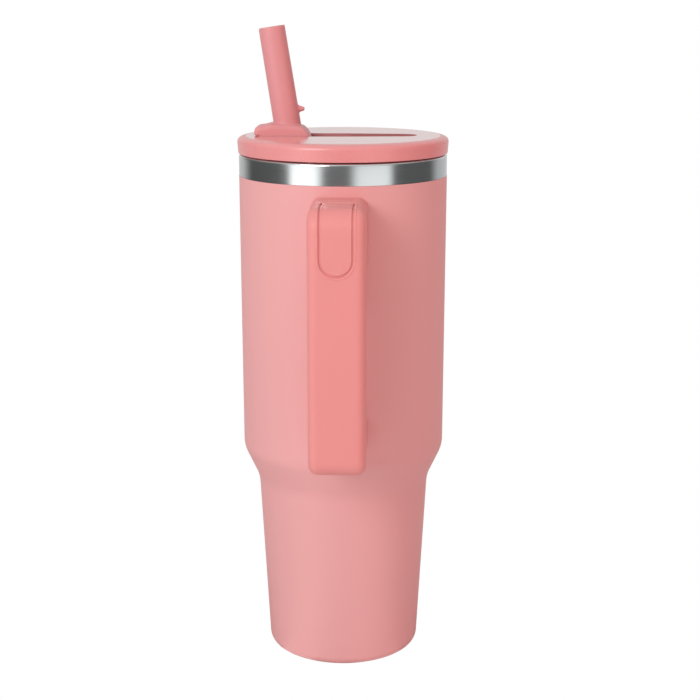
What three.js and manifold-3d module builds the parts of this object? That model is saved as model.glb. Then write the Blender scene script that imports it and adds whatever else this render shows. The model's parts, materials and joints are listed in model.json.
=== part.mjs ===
// Insulated tumbler with a push-in lid, a flip spout, a straw and a screwed-on D handle.
// Millimetres, +Z up, origin at the centre of the foot pad's underside.
// The handle points to -Y, the spout's hinge lies to -X and the lid's groove runs to +X.
import * as THREE from "three";
import { mergeVertices } from "three/addons/utils/BufferGeometryUtils.js";
import Module from "manifold-3d";

const wasm = await Module();
wasm.setup();

// Fits
const GAP = 0.3; // between pieces that seat on each other
const RUNNING = 0.2; // radial, between a hinge pin and its bore
const SWEEP = 0.4; // between a turning or sliding piece and what it passes
const OVER = 2; // how far a cutter runs past what it cuts
const SEGMENTS = 36;
const SMALL_SEGMENTS = 16;
const ARC_STEPS = 3;

// Body outline, outside of the coat
const BODY_R = 50;
const CUP_TOP = 249.8;
const BAND_H = 10.2; // bare steel above the coat
const BAND_BOTTOM = CUP_TOP - BAND_H;
const WALL_DRAFT = 0.5; // how much narrower the wide part is at its shoulder
const SHOULDER_R = BODY_R - WALL_DRAFT;
const SHOULDER_Z = 105.6;
const SHOULDER_FILLET = 14.3;
const NECK_R = 42.1;
const NECK_Z = 89.8;
const NECK_FILLET = 21;
const BASE_R = 37.2;
const BASE_FILLET = 5;
const PAD_STAND = 0.4; // how far the foot pad lifts the body

// Walls
const COAT = 0.3;
const SKIN_GAP = 0.1; // between the coat and the steel under it
const STEEL = 0.5;
const LINER = 0.5;
const VACUUM = 2.8; // between the two walls
const LIP_FILLET = 1.3;
const CUP_FLOOR = 8; // underside of the inner cup
const FOOT_RING_R = 31; // inner edge of the outer wall's foot
const FOOT_LIP = 3; // height of the foot's inner lip
const BASE_DISC_RISE = 1.6;
const VACUUM_HOLE_R = 2;
const VACUUM_CAP_R = 5;
const VACUUM_CAP_T = 0.6;
const GETTER_R = 7;
const GETTER_T = 1;

// Lid
const LID_GAP = 0.4; // between the cup's lip and the lid's skirt
const LID_OVERHANG = 0.6;
const LID_SKIRT_OVERHANG = 0.2;
const LID_H = 8.5; // above the cup's lip
const LID_R = BODY_R + LID_OVERHANG;
const LID_SKIRT_R = BODY_R + LID_SKIRT_OVERHANG;
const LID_TOP = CUP_TOP + LID_H;
const LID_EDGE = 3.4; // rounding of the lid's upper edge
const LID_PLATE = 2.4;
const LID_RIM = 3;
const PLUG_CLEARANCE = 0.8; // between the plug and the cup's mouth
const PLUG_WALL = 1.2;
const PLUG_THICK_WALL = 3; // where the gasket's groove is
const PLUG_FLOOR_T = 2;
const PLUG_FLANGE_T = 1.5;
const TUB_DEPTH = 12.8; // below the cup's lip
const TUB_BOTTOM = CUP_TOP - TUB_DEPTH;
const GASKET_RISE = 1.4; // above the underside of the tub
const GASKET_BOTTOM = TUB_BOTTOM + GASKET_RISE;
const GASKET_H = 3;
const GASKET_GROOVE = 1.8;
const GASKET_LIP = 0.3; // running gap left to the cup's wall

// Spout and its hinge
const HINGE_IN = 22.5; // from the body's outside
const HINGE_DROP = 5.6; // below the lid's face
const HINGE_X = HINGE_IN - BODY_R;
const HINGE_Z = LID_TOP - HINGE_DROP;
const BARREL_R = 13;
const BARREL_HALF = 8.3;
const SPOUT_LEAN = THREE.MathUtils.degToRad(8.83);
const SPOUT_OFFSET = 2.52; // of the tube's axis from the hinge's axis
const SPOUT_REACH = 56.7; // from the hinge to the tip, along the tube
const SPOUT_R = 6.5;
const SPOUT_TIP_R = 6.25;
const SPOUT_EDGE = 0.8;
const BORE_R = 4.3;
const TOE_REACH = 14.5; // from the hinge to the saddle's blunt outer end
const TOE_X = HINGE_X - TOE_REACH;
const TOE_H = 2.4;
const TOE_RUN = 4.2; // from the blunt end to where the saddle's top levels off
const SADDLE_H = 5.8; // above the lid's face
const SADDLE_TOP = LID_TOP + SADDLE_H;
const SADDLE_FALL = 1;
const NUB_R = 1.5;
const NUB_L = 2.8;
const NUB_REACH = 17; // from the hinge to the nub, along the tube
const PIN_R = 1.8;
const PIN_START = 5.6;
const PIN_SEAT = 1.4; // how far a pin goes into the lid
const POCKET_WALL = 1.6;

// Groove for the folded spout
const GROOVE_END_IN = 14.6; // from the body's outside
const GROOVE_END_X = BODY_R - GROOVE_END_IN;
const GROOVE_END_R = 6.8;
const GROOVE_WIDE = 10.6; // half width beside the hinge
const GROOVE_DRAFT = 2.6; // how much wider each wall is at the top

// Vent
const VENT_REACH = 16; // from the hinge
const VENT_X = HINGE_X + VENT_REACH;
const VENT_R = 3;
const VENT_SLOT = 3.5;
const VALVE_T = 2.2;
const VENT_HOLE_R = 0.9;

// Straw
const STRAW_R = 4.2;
const STRAW_WALL = 0.8;
const STRAW_FLOOR_GAP = 7;
const SOCKET_WALL = 2.4;
const SOCKET_L = 20; // below the underside of the tub
const SOCKET_BOTTOM = TUB_BOTTOM - SOCKET_L;
const COLLAR_WALL = 2;
const COLLAR_L = 18;
const COLLAR_BOTTOM = TUB_BOTTOM - COLLAR_L;
const SEAL_WALL = 2.2;

// Handle
const FINGER_ROOM = 27; // between the body and the grip
const GRIP_T = 15;
const GRIP_OUT = BODY_R + FINGER_ROOM + GRIP_T;
const HANDLE_HALF = 13;
const HANDLE_BELOW_BAND = 4.9;
const HANDLE_TOP = BAND_BOTTOM - HANDLE_BELOW_BAND;
const HANDLE_BOTTOM = 115.2;
const UPPER_ARM = 32;
const LOWER_ARM = 17;
const HANDLE_TOP_FILLET = 9;
const HANDLE_BOTTOM_FILLET = 7;
const HANDLE_GAP_FILLET = 9;
const HANDLE_EDGE = 4.5;
const INSET_HALF = 7.8;
const INSET_H = 30.7;
const INSET_BOTTOM = HANDLE_TOP - INSET_H;
const INSET_OVER_TOP = 26; // how far the inset runs back over the handle's top
const INSET_BACK = GRIP_OUT - INSET_OVER_TOP;
const INSET_T = 1.5;
const PEG_L = 9;
const BRACKET_HALF = 6.5;
const BRACKET_UPPER_OUT = BODY_R + 10;
const BRACKET_UPPER_H = 14;
const UPPER_SCREW_DROP = 17; // below the handle's top
const UPPER_SCREW_Z = HANDLE_TOP - UPPER_SCREW_DROP;
const BRACKET_LOWER_OUT = BODY_R + 12;
const BRACKET_LOWER_H = 8;
const LOWER_SCREW_Y = BODY_R + 6.6;
const LOWER_BRACKET_Z = HANDLE_BOTTOM + 4;
const SCREW_R = 1.5;
const SCREW_HEAD_R = 3;
const SCREW_HEAD_T = 2.2;
const UPPER_SCREW_HEAD_Y = BODY_R + 24;
const LID_SCREW_X = [VENT_X + 13.5, GROOVE_END_X - 11.3];
const LID_SCREW_BITE = 4.5;

// Sizes that follow from those above
const STEEL_OUT = COAT + SKIN_GAP;
const LINER_OUT = STEEL_OUT + STEEL + VACUUM;
const LINER_IN = LINER_OUT + LINER;
const MOUTH_R = BODY_R - LINER_IN;
const PLUG_R = MOUTH_R - PLUG_CLEARANCE;
const PLUG_FLOOR_TOP = TUB_BOTTOM - GAP;
const PLUG_BOTTOM = PLUG_FLOOR_TOP - PLUG_FLOOR_T;
const SKIRT_BOTTOM = CUP_TOP + LID_GAP;
const PLATE_UNDER = LID_TOP - LID_PLATE;
const CLOSED_AXIS_Z = HINGE_Z - SPOUT_OFFSET;
const TUBE_DIR = new THREE.Vector2(-Math.sin(SPOUT_LEAN), Math.cos(SPOUT_LEAN));
const TUBE_SIDE = new THREE.Vector2(Math.cos(SPOUT_LEAN), Math.sin(SPOUT_LEAN));
const BORE_DROP = Math.sqrt(BARREL_R ** 2 - SPOUT_OFFSET ** 2);
const STRAW_X = HINGE_X + SPOUT_OFFSET * TUBE_SIDE.x - BORE_DROP * TUBE_DIR.x;
const SOCKET_R = STRAW_R + GAP + SOCKET_WALL;
const SEAL_R = BORE_R + SEAL_WALL;

// Colours
const COAT_PINK = { color: 0xe6a6a6, roughness: 0.6, metalness: 0 };
const MOULDED_PINK = { color: 0xe5918e, roughness: 0.45, metalness: 0 };
const BRUSHED_STEEL = { color: 0xb8b8b8, roughness: 0.35, metalness: 1 };
const SILICONE = { color: 0xdad4d0, roughness: 0.7, metalness: 0 };
const CLEAR_PLASTIC = { color: 0xe9e4e2, roughness: 0.3, metalness: 0 };

const at = (x, y) => new THREE.Vector2(x, y);

/** A closed geometry as a manifold-3d solid. */
function solidOf(geometry) {
  const bare = geometry.index ? geometry.toNonIndexed() : geometry.clone();
  bare.deleteAttribute("normal");
  bare.deleteAttribute("uv");
  const merged = mergeVertices(bare, 1e-4);
  const index = merged.index.array;
  const triangles = [];
  for (let i = 0; i < index.length; i += 3) {
    const [a, b, c] = [index[i], index[i + 1], index[i + 2]];
    if (a !== b && b !== c && c !== a) triangles.push(a, b, c);
  }
  return new wasm.Manifold(
    new wasm.Mesh({
      numProp: 3,
      vertProperties: merged.attributes.position.array,
      triVerts: new Uint32Array(triangles),
    }),
  );
}

/** A solid of revolution about +Z from a profile of (radius, height) points. */
function lathe(profile, segments = SEGMENTS) {
  const points = THREE.ShapeUtils.area(profile) > 0 ? profile : [...profile].reverse();
  const first = points[0];
  const last = points[points.length - 1];
  const open = first.x > 0 || last.x > 0;
  const loop = open && !first.equals(last) ? [...points, first.clone()] : points;
  return solidOf(new THREE.LatheGeometry(loop, segments).rotateX(Math.PI / 2));
}

/** A ring or disc with a rectangular section. */
function ring(inner, outer, bottom, top, segments = SEGMENTS) {
  const profile = [at(inner, bottom), at(outer, bottom), at(outer, top), at(inner, top)];
  return lathe(profile, segments);
}

/** A straight round bar along any axis, from one point to another. */
function bar(from, to, radius, endRadius = radius, segments = SMALL_SEGMENTS) {
  const along = new THREE.Vector3().subVectors(to, from);
  const geometry = new THREE.CylinderGeometry(endRadius, radius, along.length(), segments);
  const turn = new THREE.Quaternion().setFromUnitVectors(
    new THREE.Vector3(0, 1, 0),
    along.clone().normalize(),
  );
  geometry.applyQuaternion(turn);
  const middle = new THREE.Vector3().addVectors(from, to).multiplyScalar(0.5);
  return solidOf(geometry.translate(middle.x, middle.y, middle.z));
}

/** A box between two corners. */
function block(low, high) {
  const size = high.map((value, i) => value - low[i]);
  const middle = high.map((value, i) => (value + low[i]) / 2);
  return solidOf(new THREE.BoxGeometry(...size).translate(...middle));
}

/** A flat outline in X and Z, given a thickness along Y. */
function slabXZ(shape, half) {
  const options = { depth: 2 * half, bevelEnabled: false, curveSegments: 5 };
  const geometry = new THREE.ExtrudeGeometry(shape, options);
  return solidOf(geometry.rotateX(Math.PI / 2).translate(0, half, 0));
}

/** A flat outline in X and Y, raised from one height to another. */
function slabXY(shape, bottom, top) {
  const options = { depth: top - bottom, bevelEnabled: false, curveSegments: 5 };
  return solidOf(new THREE.ExtrudeGeometry(shape, options).translate(0, 0, bottom));
}

/** A named mesh of one solid. */
function piece(name, solid, finish) {
  const made = solid.getMesh();
  const geometry = new THREE.BufferGeometry();
  geometry.setAttribute("position", new THREE.BufferAttribute(made.vertProperties, 3));
  geometry.setIndex(new THREE.BufferAttribute(made.triVerts, 1));
  geometry.computeVertexNormals();
  const mesh = new THREE.Mesh(geometry, new THREE.MeshStandardMaterial(finish));
  mesh.name = name;
  return mesh;
}

/** The points of a corner rounded to a radius, from one tangent point to the other. */
function roundedCorner(before, corner, after, radius) {
  if (radius <= 0) return [corner.clone()];
  const toBefore = before.clone().sub(corner).normalize();
  const toAfter = after.clone().sub(corner).normalize();
  const half = Math.acos(THREE.MathUtils.clamp(toBefore.dot(toAfter), -1, 1)) / 2;
  const reach = radius / Math.tan(half);
  const start = corner.clone().addScaledVector(toBefore, reach);
  const end = corner.clone().addScaledVector(toAfter, reach);
  const middle = toBefore.clone().add(toAfter).normalize();
  const centre = corner.clone().addScaledVector(middle, radius / Math.sin(half));
  const from = start.clone().sub(centre).angle();
  let sweep = end.clone().sub(centre).angle() - from;
  if (sweep > Math.PI) sweep -= 2 * Math.PI;
  if (sweep < -Math.PI) sweep += 2 * Math.PI;
  return Array.from({ length: ARC_STEPS + 1 }, (_, i) => {
    const angle = from + (sweep * i) / ARC_STEPS;
    return at(centre.x + radius * Math.cos(angle), centre.y + radius * Math.sin(angle));
  });
}

/** Where two lines, each given by two points, meet. */
function meet([a, b], [c, d]) {
  const p = b.clone().sub(a);
  const q = d.clone().sub(c);
  const share = c.clone().sub(a).cross(q) / p.cross(q);
  return a.clone().addScaledVector(p, share);
}

/** The body's outline moved inwards, from its underside at a height up to another height. */
function bodyOutline(inwards, bottom, top) {
  const corners = [
    at(BASE_R, 0),
    at(NECK_R, NECK_Z),
    at(SHOULDER_R, SHOULDER_Z),
    at(BODY_R, BAND_BOTTOM),
    at(BODY_R, CUP_TOP + OVER),
  ];
  const lines = corners.slice(1).map((end, i) => {
    const start = corners[i];
    const side = end.clone().sub(start).normalize().rotateAround(at(0, 0), Math.PI / 2);
    const shift = side.multiplyScalar(inwards);
    return [start.clone().add(shift), end.clone().add(shift)];
  });
  const floor = [at(0, bottom), at(1, bottom)];
  const ceiling = [at(0, top), at(1, top)];
  const base = meet(floor, lines[0]);
  const neck = meet(lines[0], lines[1]);
  const shoulder = meet(lines[1], lines[2]);
  const band = meet(lines[2], lines[3]);
  const belowBand = top <= band.y;
  const end = meet(ceiling, belowBand ? lines[2] : lines[3]);
  return [
    ...roundedCorner(at(0, bottom), base, neck, Math.max(BASE_FILLET - inwards, LINER)),
    ...roundedCorner(base, neck, shoulder, NECK_FILLET + inwards),
    ...roundedCorner(neck, shoulder, band, Math.max(SHOULDER_FILLET - inwards, LINER)),
    ...(belowBand ? [] : [band]),
    end,
  ];
}

/** A wall between two outlines of the body, closed by the points of its foot. */
function bodyWall(outside, inside, foot = []) {
  return lathe([...outside, ...[...inside].reverse(), ...foot]);
}

function makePowderCoat() {
  const outside = bodyOutline(0, PAD_STAND, BAND_BOTTOM);
  const inside = bodyOutline(COAT, PAD_STAND + COAT, BAND_BOTTOM);
  const foot = [
    at(FOOT_RING_R + OVER, PAD_STAND + COAT),
    at(FOOT_RING_R + OVER, PAD_STAND),
  ];
  return bodyWall(outside, inside, foot);
}

function makeOuterShell() {
  const bottom = PAD_STAND + STEEL_OUT;
  const wall = bodyOutline(STEEL_OUT, bottom, BAND_BOTTOM + SKIN_GAP);
  const bandR = BODY_R - SKIN_GAP;
  const flange = at(BODY_R - LINER_OUT + GAP, CUP_TOP);
  const lip = roundedCorner(
    at(bandR, BAND_BOTTOM),
    at(bandR, CUP_TOP),
    flange,
    LIP_FILLET,
  );
  const outside = [...wall, at(bandR, BAND_BOTTOM + SKIN_GAP), ...lip, flange];
  const lipInside = [
    at(flange.x, CUP_TOP - STEEL),
    at(BODY_R - STEEL_OUT - STEEL - LIP_FILLET, CUP_TOP - STEEL),
  ];
  const inside = bodyOutline(STEEL_OUT + STEEL, bottom + STEEL, CUP_TOP - STEEL - LIP_FILLET);
  const foot = [
    at(FOOT_RING_R + STEEL, bottom + STEEL),
    at(FOOT_RING_R + STEEL, FOOT_LIP),
    at(FOOT_RING_R, FOOT_LIP),
    at(FOOT_RING_R, bottom),
  ];
  return lathe([...outside, ...lipInside, ...inside.reverse(), ...foot]);
}

function makeInnerShell() {
  const outside = bodyOutline(LINER_OUT, CUP_FLOOR, CUP_TOP);
  const inside = bodyOutline(LINER_IN, CUP_FLOOR + LINER, CUP_TOP);
  return lathe([
    at(0, CUP_FLOOR),
    ...outside,
    ...inside.reverse(),
    at(0, CUP_FLOOR + LINER),
  ]);
}

function makeOuterBase() {
  const bottom = PAD_STAND + BASE_DISC_RISE;
  return ring(VACUUM_HOLE_R, FOOT_RING_R - GAP, bottom, bottom + STEEL);
}

function makeVacuumCap() {
  const top = PAD_STAND + BASE_DISC_RISE + STEEL + GAP;
  return lathe(
    [
      at(0, top),
      at(VACUUM_CAP_R, top),
      at(VACUUM_CAP_R, top + VACUUM_CAP_T),
      at(0, top + VACUUM_CAP_T),
    ],
    SMALL_SEGMENTS,
  );
}

function makeGetter() {
  const top = CUP_FLOOR - GAP;
  return lathe(
    [at(0, top - GETTER_T), at(GETTER_R, top - GETTER_T), at(GETTER_R, top), at(0, top)],
    SMALL_SEGMENTS,
  );
}

function makeBasePad() {
  const radius = FOOT_RING_R - GAP;
  const top = PAD_STAND + BASE_DISC_RISE - GAP;
  return lathe([at(0, 0), at(radius - top / 2, 0), at(radius, top / 2), at(radius, top), at(0, top)]);
}

/** The lid's groove for the folded spout, as a cutter. */
function grooveCutter() {
  const radius = SPOUT_R + SWEEP;
  const top = LID_TOP + OVER;
  const section = new THREE.Shape();
  section.moveTo(radius + GROOVE_DRAFT, top);
  section.lineTo(radius, CLOSED_AXIS_Z);
  section.absarc(0, CLOSED_AXIS_Z, radius, 0, -Math.PI, true);
  section.lineTo(-radius - GROOVE_DRAFT, top);
  section.closePath();
  const pocketR = BARREL_R + SWEEP;
  const start = HINGE_X + Math.sqrt(pocketR ** 2 - (SPOUT_OFFSET + radius) ** 2) - GAP;
  const length = GROOVE_END_X + OVER - start;
  const options = { depth: length, bevelEnabled: false, curveSegments: 6 };
  const channel = new THREE.ExtrudeGeometry(section, options);
  channel.rotateX(Math.PI / 2).rotateZ(Math.PI / 2).translate(start, 0, 0);
  const plan = new THREE.Shape();
  const endX = GROOVE_END_X - GROOVE_END_R;
  plan.moveTo(start - OVER, -GROOVE_WIDE);
  plan.lineTo(endX, -GROOVE_END_R);
  plan.absarc(endX, 0, GROOVE_END_R, -Math.PI / 2, Math.PI / 2, false);
  plan.lineTo(start - OVER, GROOVE_WIDE);
  plan.closePath();
  return solidOf(channel).intersect(slabXY(plan, TUB_BOTTOM, top));
}

/** The pocket that the spout's barrel turns in, as a cutter. */
function pocketCutter() {
  const half = BARREL_HALF + SWEEP;
  return bar(
    new THREE.Vector3(HINGE_X, -half, HINGE_Z),
    new THREE.Vector3(HINGE_X, half, HINGE_Z),
    BARREL_R + SWEEP,
    BARREL_R + SWEEP,
    SEGMENTS,
  );
}

/** A round bar on the spout's hinge axis, on one side of the middle. */
function hingeBar(side, from, to, radius) {
  return bar(
    new THREE.Vector3(HINGE_X, side * from, HINGE_Z),
    new THREE.Vector3(HINGE_X, side * to, HINGE_Z),
    radius,
  );
}

/** A vertical round bar. */
function post(x, y, bottom, top, radius) {
  return bar(new THREE.Vector3(x, y, bottom), new THREE.Vector3(x, y, top), radius);
}

function makeLidTop() {
  const rimInner = LID_R - LID_RIM;
  const edge = roundedCorner(
    at(LID_R, SKIRT_BOTTOM),
    at(LID_R, LID_TOP),
    at(0, LID_TOP),
    LID_EDGE,
  );
  const cap = lathe([
    at(0, PLATE_UNDER),
    at(rimInner, PLATE_UNDER),
    at(rimInner, SKIRT_BOTTOM),
    at(LID_SKIRT_R, SKIRT_BOTTOM),
    ...edge,
    at(0, LID_TOP),
  ]);
  const pocketHalf = BARREL_HALF + SWEEP + POCKET_WALL;
  const pinHalf = BARREL_HALF + SWEEP + PIN_SEAT + GAP + POCKET_WALL;
  const grooveHalf = SPOUT_R + SWEEP + GROOVE_DRAFT + POCKET_WALL;
  const plateMiddle = LID_TOP - LID_PLATE / 2;
  const tub = block(
    [-MOUTH_R, -pocketHalf, TUB_BOTTOM],
    [HINGE_X + BARREL_R + OVER, pocketHalf, plateMiddle],
  )
    .add(
      block(
        [HINGE_X, -grooveHalf, TUB_BOTTOM],
        [GROOVE_END_X + POCKET_WALL, grooveHalf, plateMiddle],
      ),
    )
    .add(
      block(
        [HINGE_X - 2 * PIN_R, -pinHalf, HINGE_Z - 2 * PIN_R],
        [HINGE_X + 2 * PIN_R, pinHalf, plateMiddle],
      ),
    );
  const upperR = PLUG_R - PLUG_WALL - GAP;
  const lowerR = PLUG_R - PLUG_THICK_WALL - GAP;
  const step = GASKET_BOTTOM + GASKET_H + PLUG_WALL + GAP;
  const room = lathe([
    at(0, TUB_BOTTOM),
    at(lowerR, TUB_BOTTOM),
    at(lowerR, step),
    at(upperR, step),
    at(upperR, plateMiddle),
    at(0, plateMiddle),
  ]);
  const vent = post(VENT_X, 0, TUB_BOTTOM - OVER, CLOSED_AXIS_Z, VENT_R)
    .add(post(VENT_X + VENT_SLOT, 0, TUB_BOTTOM - OVER, CLOSED_AXIS_Z, VENT_R))
    .add(
      block(
        [VENT_X, -VENT_R, TUB_BOTTOM - OVER],
        [VENT_X + VENT_SLOT, VENT_R, CLOSED_AXIS_Z],
      ),
    );
  let lid = cap
    .add(tub.intersect(room))
    .subtract(pocketCutter())
    .subtract(grooveCutter())
    .subtract(vent)
    .subtract(post(STRAW_X, 0, TUB_BOTTOM - OVER, HINGE_Z, SEAL_R + GAP));
  for (const side of [-1, 1]) {
    lid = lid.subtract(hingeBar(side, 0, pinHalf - POCKET_WALL, PIN_R + RUNNING));
  }
  for (const x of LID_SCREW_X) {
    lid = lid.subtract(
      post(x, 0, TUB_BOTTOM - OVER, TUB_BOTTOM + LID_SCREW_BITE + GAP, SCREW_R + GAP),
    );
  }
  return lid;
}

function makeLidPlug() {
  const innerUpper = PLUG_R - PLUG_WALL;
  const innerLower = PLUG_R - PLUG_THICK_WALL;
  const grooveR = PLUG_R - GASKET_GROOVE;
  const grooveTop = GASKET_BOTTOM + GASKET_H;
  const step = grooveTop + PLUG_WALL;
  const flangeR = LID_R - LID_RIM - GAP;
  let plug = lathe([
    at(0, PLUG_BOTTOM),
    at(PLUG_R - PLUG_WALL, PLUG_BOTTOM),
    at(PLUG_R, PLUG_BOTTOM + PLUG_WALL),
    at(PLUG_R, GASKET_BOTTOM),
    at(grooveR, GASKET_BOTTOM),
    at(grooveR, grooveTop),
    at(PLUG_R, grooveTop),
    at(PLUG_R, SKIRT_BOTTOM),
    at(flangeR, SKIRT_BOTTOM),
    at(flangeR, SKIRT_BOTTOM + PLUG_FLANGE_T),
    at(PLUG_R, SKIRT_BOTTOM + PLUG_FLANGE_T),
    at(PLUG_R, PLATE_UNDER - GAP),
    at(innerUpper, PLATE_UNDER - GAP),
    at(innerUpper, step),
    at(innerLower, step),
    at(innerLower, PLUG_FLOOR_TOP),
    at(0, PLUG_FLOOR_TOP),
  ]);
  const collarR = SOCKET_R + GAP + COLLAR_WALL;
  plug = plug
    .add(post(STRAW_X, 0, COLLAR_BOTTOM, PLUG_BOTTOM + GAP, collarR))
    .subtract(post(STRAW_X, 0, COLLAR_BOTTOM - OVER, PLUG_BOTTOM, SOCKET_R + GAP))
    .subtract(post(STRAW_X, 0, PLUG_BOTTOM - OVER, PLUG_FLOOR_TOP + OVER, BORE_R))
    .subtract(post(VENT_X, 0, PLUG_BOTTOM - OVER, PLUG_FLOOR_TOP + OVER, VENT_HOLE_R));
  for (const x of LID_SCREW_X) {
    plug = plug.subtract(
      post(x, 0, PLUG_BOTTOM - OVER, PLUG_FLOOR_TOP + OVER, SCREW_R + GAP),
    );
  }
  return plug;
}

function makeLidGasket() {
  const inner = PLUG_R - GASKET_GROOVE + GAP;
  const outer = MOUTH_R - GASKET_LIP;
  const bottom = GASKET_BOTTOM + GAP;
  const top = GASKET_BOTTOM + GASKET_H - GAP;
  const body = PLUG_R - GAP;
  const middle = (bottom + top) / 2;
  return lathe([
    at(inner, bottom),
    at(body, bottom),
    at(outer, middle - GAP),
    at(outer, middle + GAP),
    at(body, top),
    at(inner, top),
  ]);
}

/** A point on the spout's tube, by its distance along and beside the hinge. */
function onSpout(along, beside) {
  return new THREE.Vector3(
    HINGE_X + along * TUBE_DIR.x + beside * TUBE_SIDE.x,
    0,
    HINGE_Z + along * TUBE_DIR.y + beside * TUBE_SIDE.y,
  );
}

function makeSpout() {
  const barrel = bar(
    new THREE.Vector3(HINGE_X, -BARREL_HALF, HINGE_Z),
    new THREE.Vector3(HINGE_X, BARREL_HALF, HINGE_Z),
    BARREL_R,
    BARREL_R,
    SEGMENTS,
  );
  const toeBottom = LID_TOP + GAP;
  const toe = new THREE.Shape();
  toe.moveTo(TOE_X, toeBottom);
  toe.lineTo(HINGE_X, toeBottom);
  toe.lineTo(HINGE_X, SADDLE_TOP);
  toe.lineTo(TOE_X, SADDLE_TOP);
  toe.closePath();
  const under = new THREE.Shape();
  const right = HINGE_X + BARREL_R + OVER;
  under.moveTo(TOE_X, HINGE_Z - BARREL_R - OVER);
  under.lineTo(right, HINGE_Z - BARREL_R - OVER);
  under.lineTo(right, toeBottom);
  under.lineTo(HINGE_X + BARREL_R * 0.78, SADDLE_TOP - 2 * SADDLE_FALL);
  under.lineTo(HINGE_X + BARREL_R / 2, SADDLE_TOP - SADDLE_FALL);
  under.lineTo(HINGE_X - BARREL_R / 2, SADDLE_TOP);
  under.lineTo(TOE_X + TOE_RUN, SADDLE_TOP - SADDLE_FALL);
  under.quadraticCurveTo(TOE_X, SADDLE_TOP - SADDLE_FALL, TOE_X, toeBottom + TOE_H);
  under.closePath();
  const tubeStart = onSpout(BARREL_R / 2, SPOUT_OFFSET);
  const edgeStart = onSpout(SPOUT_REACH - SPOUT_EDGE, SPOUT_OFFSET);
  const tip = onSpout(SPOUT_REACH, SPOUT_OFFSET);
  const nubSide = SPOUT_OFFSET + SPOUT_R;
  let spout = barrel
    .add(slabXZ(toe, BARREL_HALF))
    .intersect(slabXZ(under, BARREL_HALF + OVER))
    .add(bar(tubeStart, edgeStart, SPOUT_R, SPOUT_TIP_R))
    .add(bar(edgeStart, tip, SPOUT_TIP_R, SPOUT_TIP_R - SPOUT_EDGE))
    .add(bar(onSpout(NUB_REACH, SPOUT_OFFSET + BORE_R), onSpout(NUB_REACH - 0.6, nubSide + NUB_L), NUB_R))
    .subtract(
      bar(
        onSpout(-BARREL_R - OVER, SPOUT_OFFSET),
        onSpout(SPOUT_REACH + OVER, SPOUT_OFFSET),
        BORE_R,
      ),
    );
  for (const side of [-1, 1]) {
    const bore = hingeBar(side, PIN_START - GAP, BARREL_HALF + OVER, PIN_R + RUNNING);
    spout = spout.subtract(bore);
  }
  return spout;
}

function makeSpoutPin(side) {
  return hingeBar(side, PIN_START, BARREL_HALF + SWEEP + PIN_SEAT, PIN_R);
}

function makeSpoutSeal() {
  const sleeve = post(STRAW_X, 0, PLUG_FLOOR_TOP + GAP, HINGE_Z, SEAL_R);
  const bore = post(STRAW_X, 0, PLUG_FLOOR_TOP - OVER, HINGE_Z + OVER, BORE_R);
  return sleeve.subtract(bore).subtract(pocketCutter()).subtract(grooveCutter());
}

function makeVentValve() {
  const bottom = PLUG_FLOOR_TOP + GAP;
  const disc = post(VENT_X, 0, bottom, bottom + VALVE_T, VENT_R - GAP);
  return disc.subtract(post(VENT_X, 0, bottom - OVER, bottom + VALVE_T + OVER, VENT_HOLE_R));
}

function makeStrawSocket() {
  const top = PLUG_BOTTOM - GAP;
  const sleeve = post(STRAW_X, 0, SOCKET_BOTTOM, top, SOCKET_R);
  return sleeve.subtract(post(STRAW_X, 0, SOCKET_BOTTOM - OVER, top + OVER, STRAW_R + GAP));
}

function makeStraw() {
  const bottom = CUP_FLOOR + LINER + STRAW_FLOOR_GAP;
  const top = PLUG_BOTTOM - GAP;
  const tube = post(STRAW_X, 0, bottom, top, STRAW_R);
  return tube.subtract(post(STRAW_X, 0, bottom - OVER, top + OVER, STRAW_R - STRAW_WALL));
}

function makeLidScrew(x) {
  const headTop = PLUG_BOTTOM - GAP;
  const head = post(x, 0, headTop - SCREW_HEAD_T, headTop, SCREW_HEAD_R);
  return head.add(post(x, 0, headTop - GAP, TUB_BOTTOM + LID_SCREW_BITE, SCREW_R));
}

/** The handle's side outline in Y and Z, moved inwards, with its back inside the body. */
function handleOutline(inwards) {
  const back = -BODY_R / 2;
  const front = -GRIP_OUT + inwards;
  const top = HANDLE_TOP - inwards;
  const bottom = HANDLE_BOTTOM + inwards;
  const corners = [at(back, bottom), at(back, top), at(front, top), at(front, bottom)];
  return [
    corners[0],
    corners[1],
    ...roundedCorner(corners[1], corners[2], corners[3], HANDLE_TOP_FILLET - inwards),
    ...roundedCorner(corners[2], corners[3], corners[0], HANDLE_BOTTOM_FILLET - inwards),
  ];
}

/** The outline of the finger gap in Y and Z. */
function gapOutline() {
  const back = -BODY_R / 2;
  const front = -GRIP_OUT + GRIP_T;
  const top = HANDLE_TOP - UPPER_ARM;
  const bottom = HANDLE_BOTTOM + LOWER_ARM;
  const corners = [at(back, bottom), at(back, top), at(front, top), at(front, bottom)];
  return [
    corners[0],
    corners[1],
    ...roundedCorner(corners[1], corners[2], corners[3], HANDLE_GAP_FILLET),
    ...roundedCorner(corners[2], corners[3], corners[0], HANDLE_GAP_FILLET),
  ];
}

/** An outline in Y and Z given a width along X, its edges rounded over where asked. */
function slabYZ(outline, half, edge = 0) {
  const shape = new THREE.Shape(outline);
  const geometry = new THREE.ExtrudeGeometry(shape, {
    depth: 2 * (half - edge),
    bevelEnabled: edge > 0,
    bevelThickness: edge,
    bevelSize: edge,
    bevelOffset: -edge,
    bevelSegments: 2,
  });
  geometry.translate(0, 0, edge - half);
  return solidOf(geometry.applyMatrix4(new THREE.Matrix4().set(
    0, 0, 1, 0,
    1, 0, 0, 0,
    0, 1, 0, 0,
    0, 0, 0, 1,
  )));
}

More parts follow.
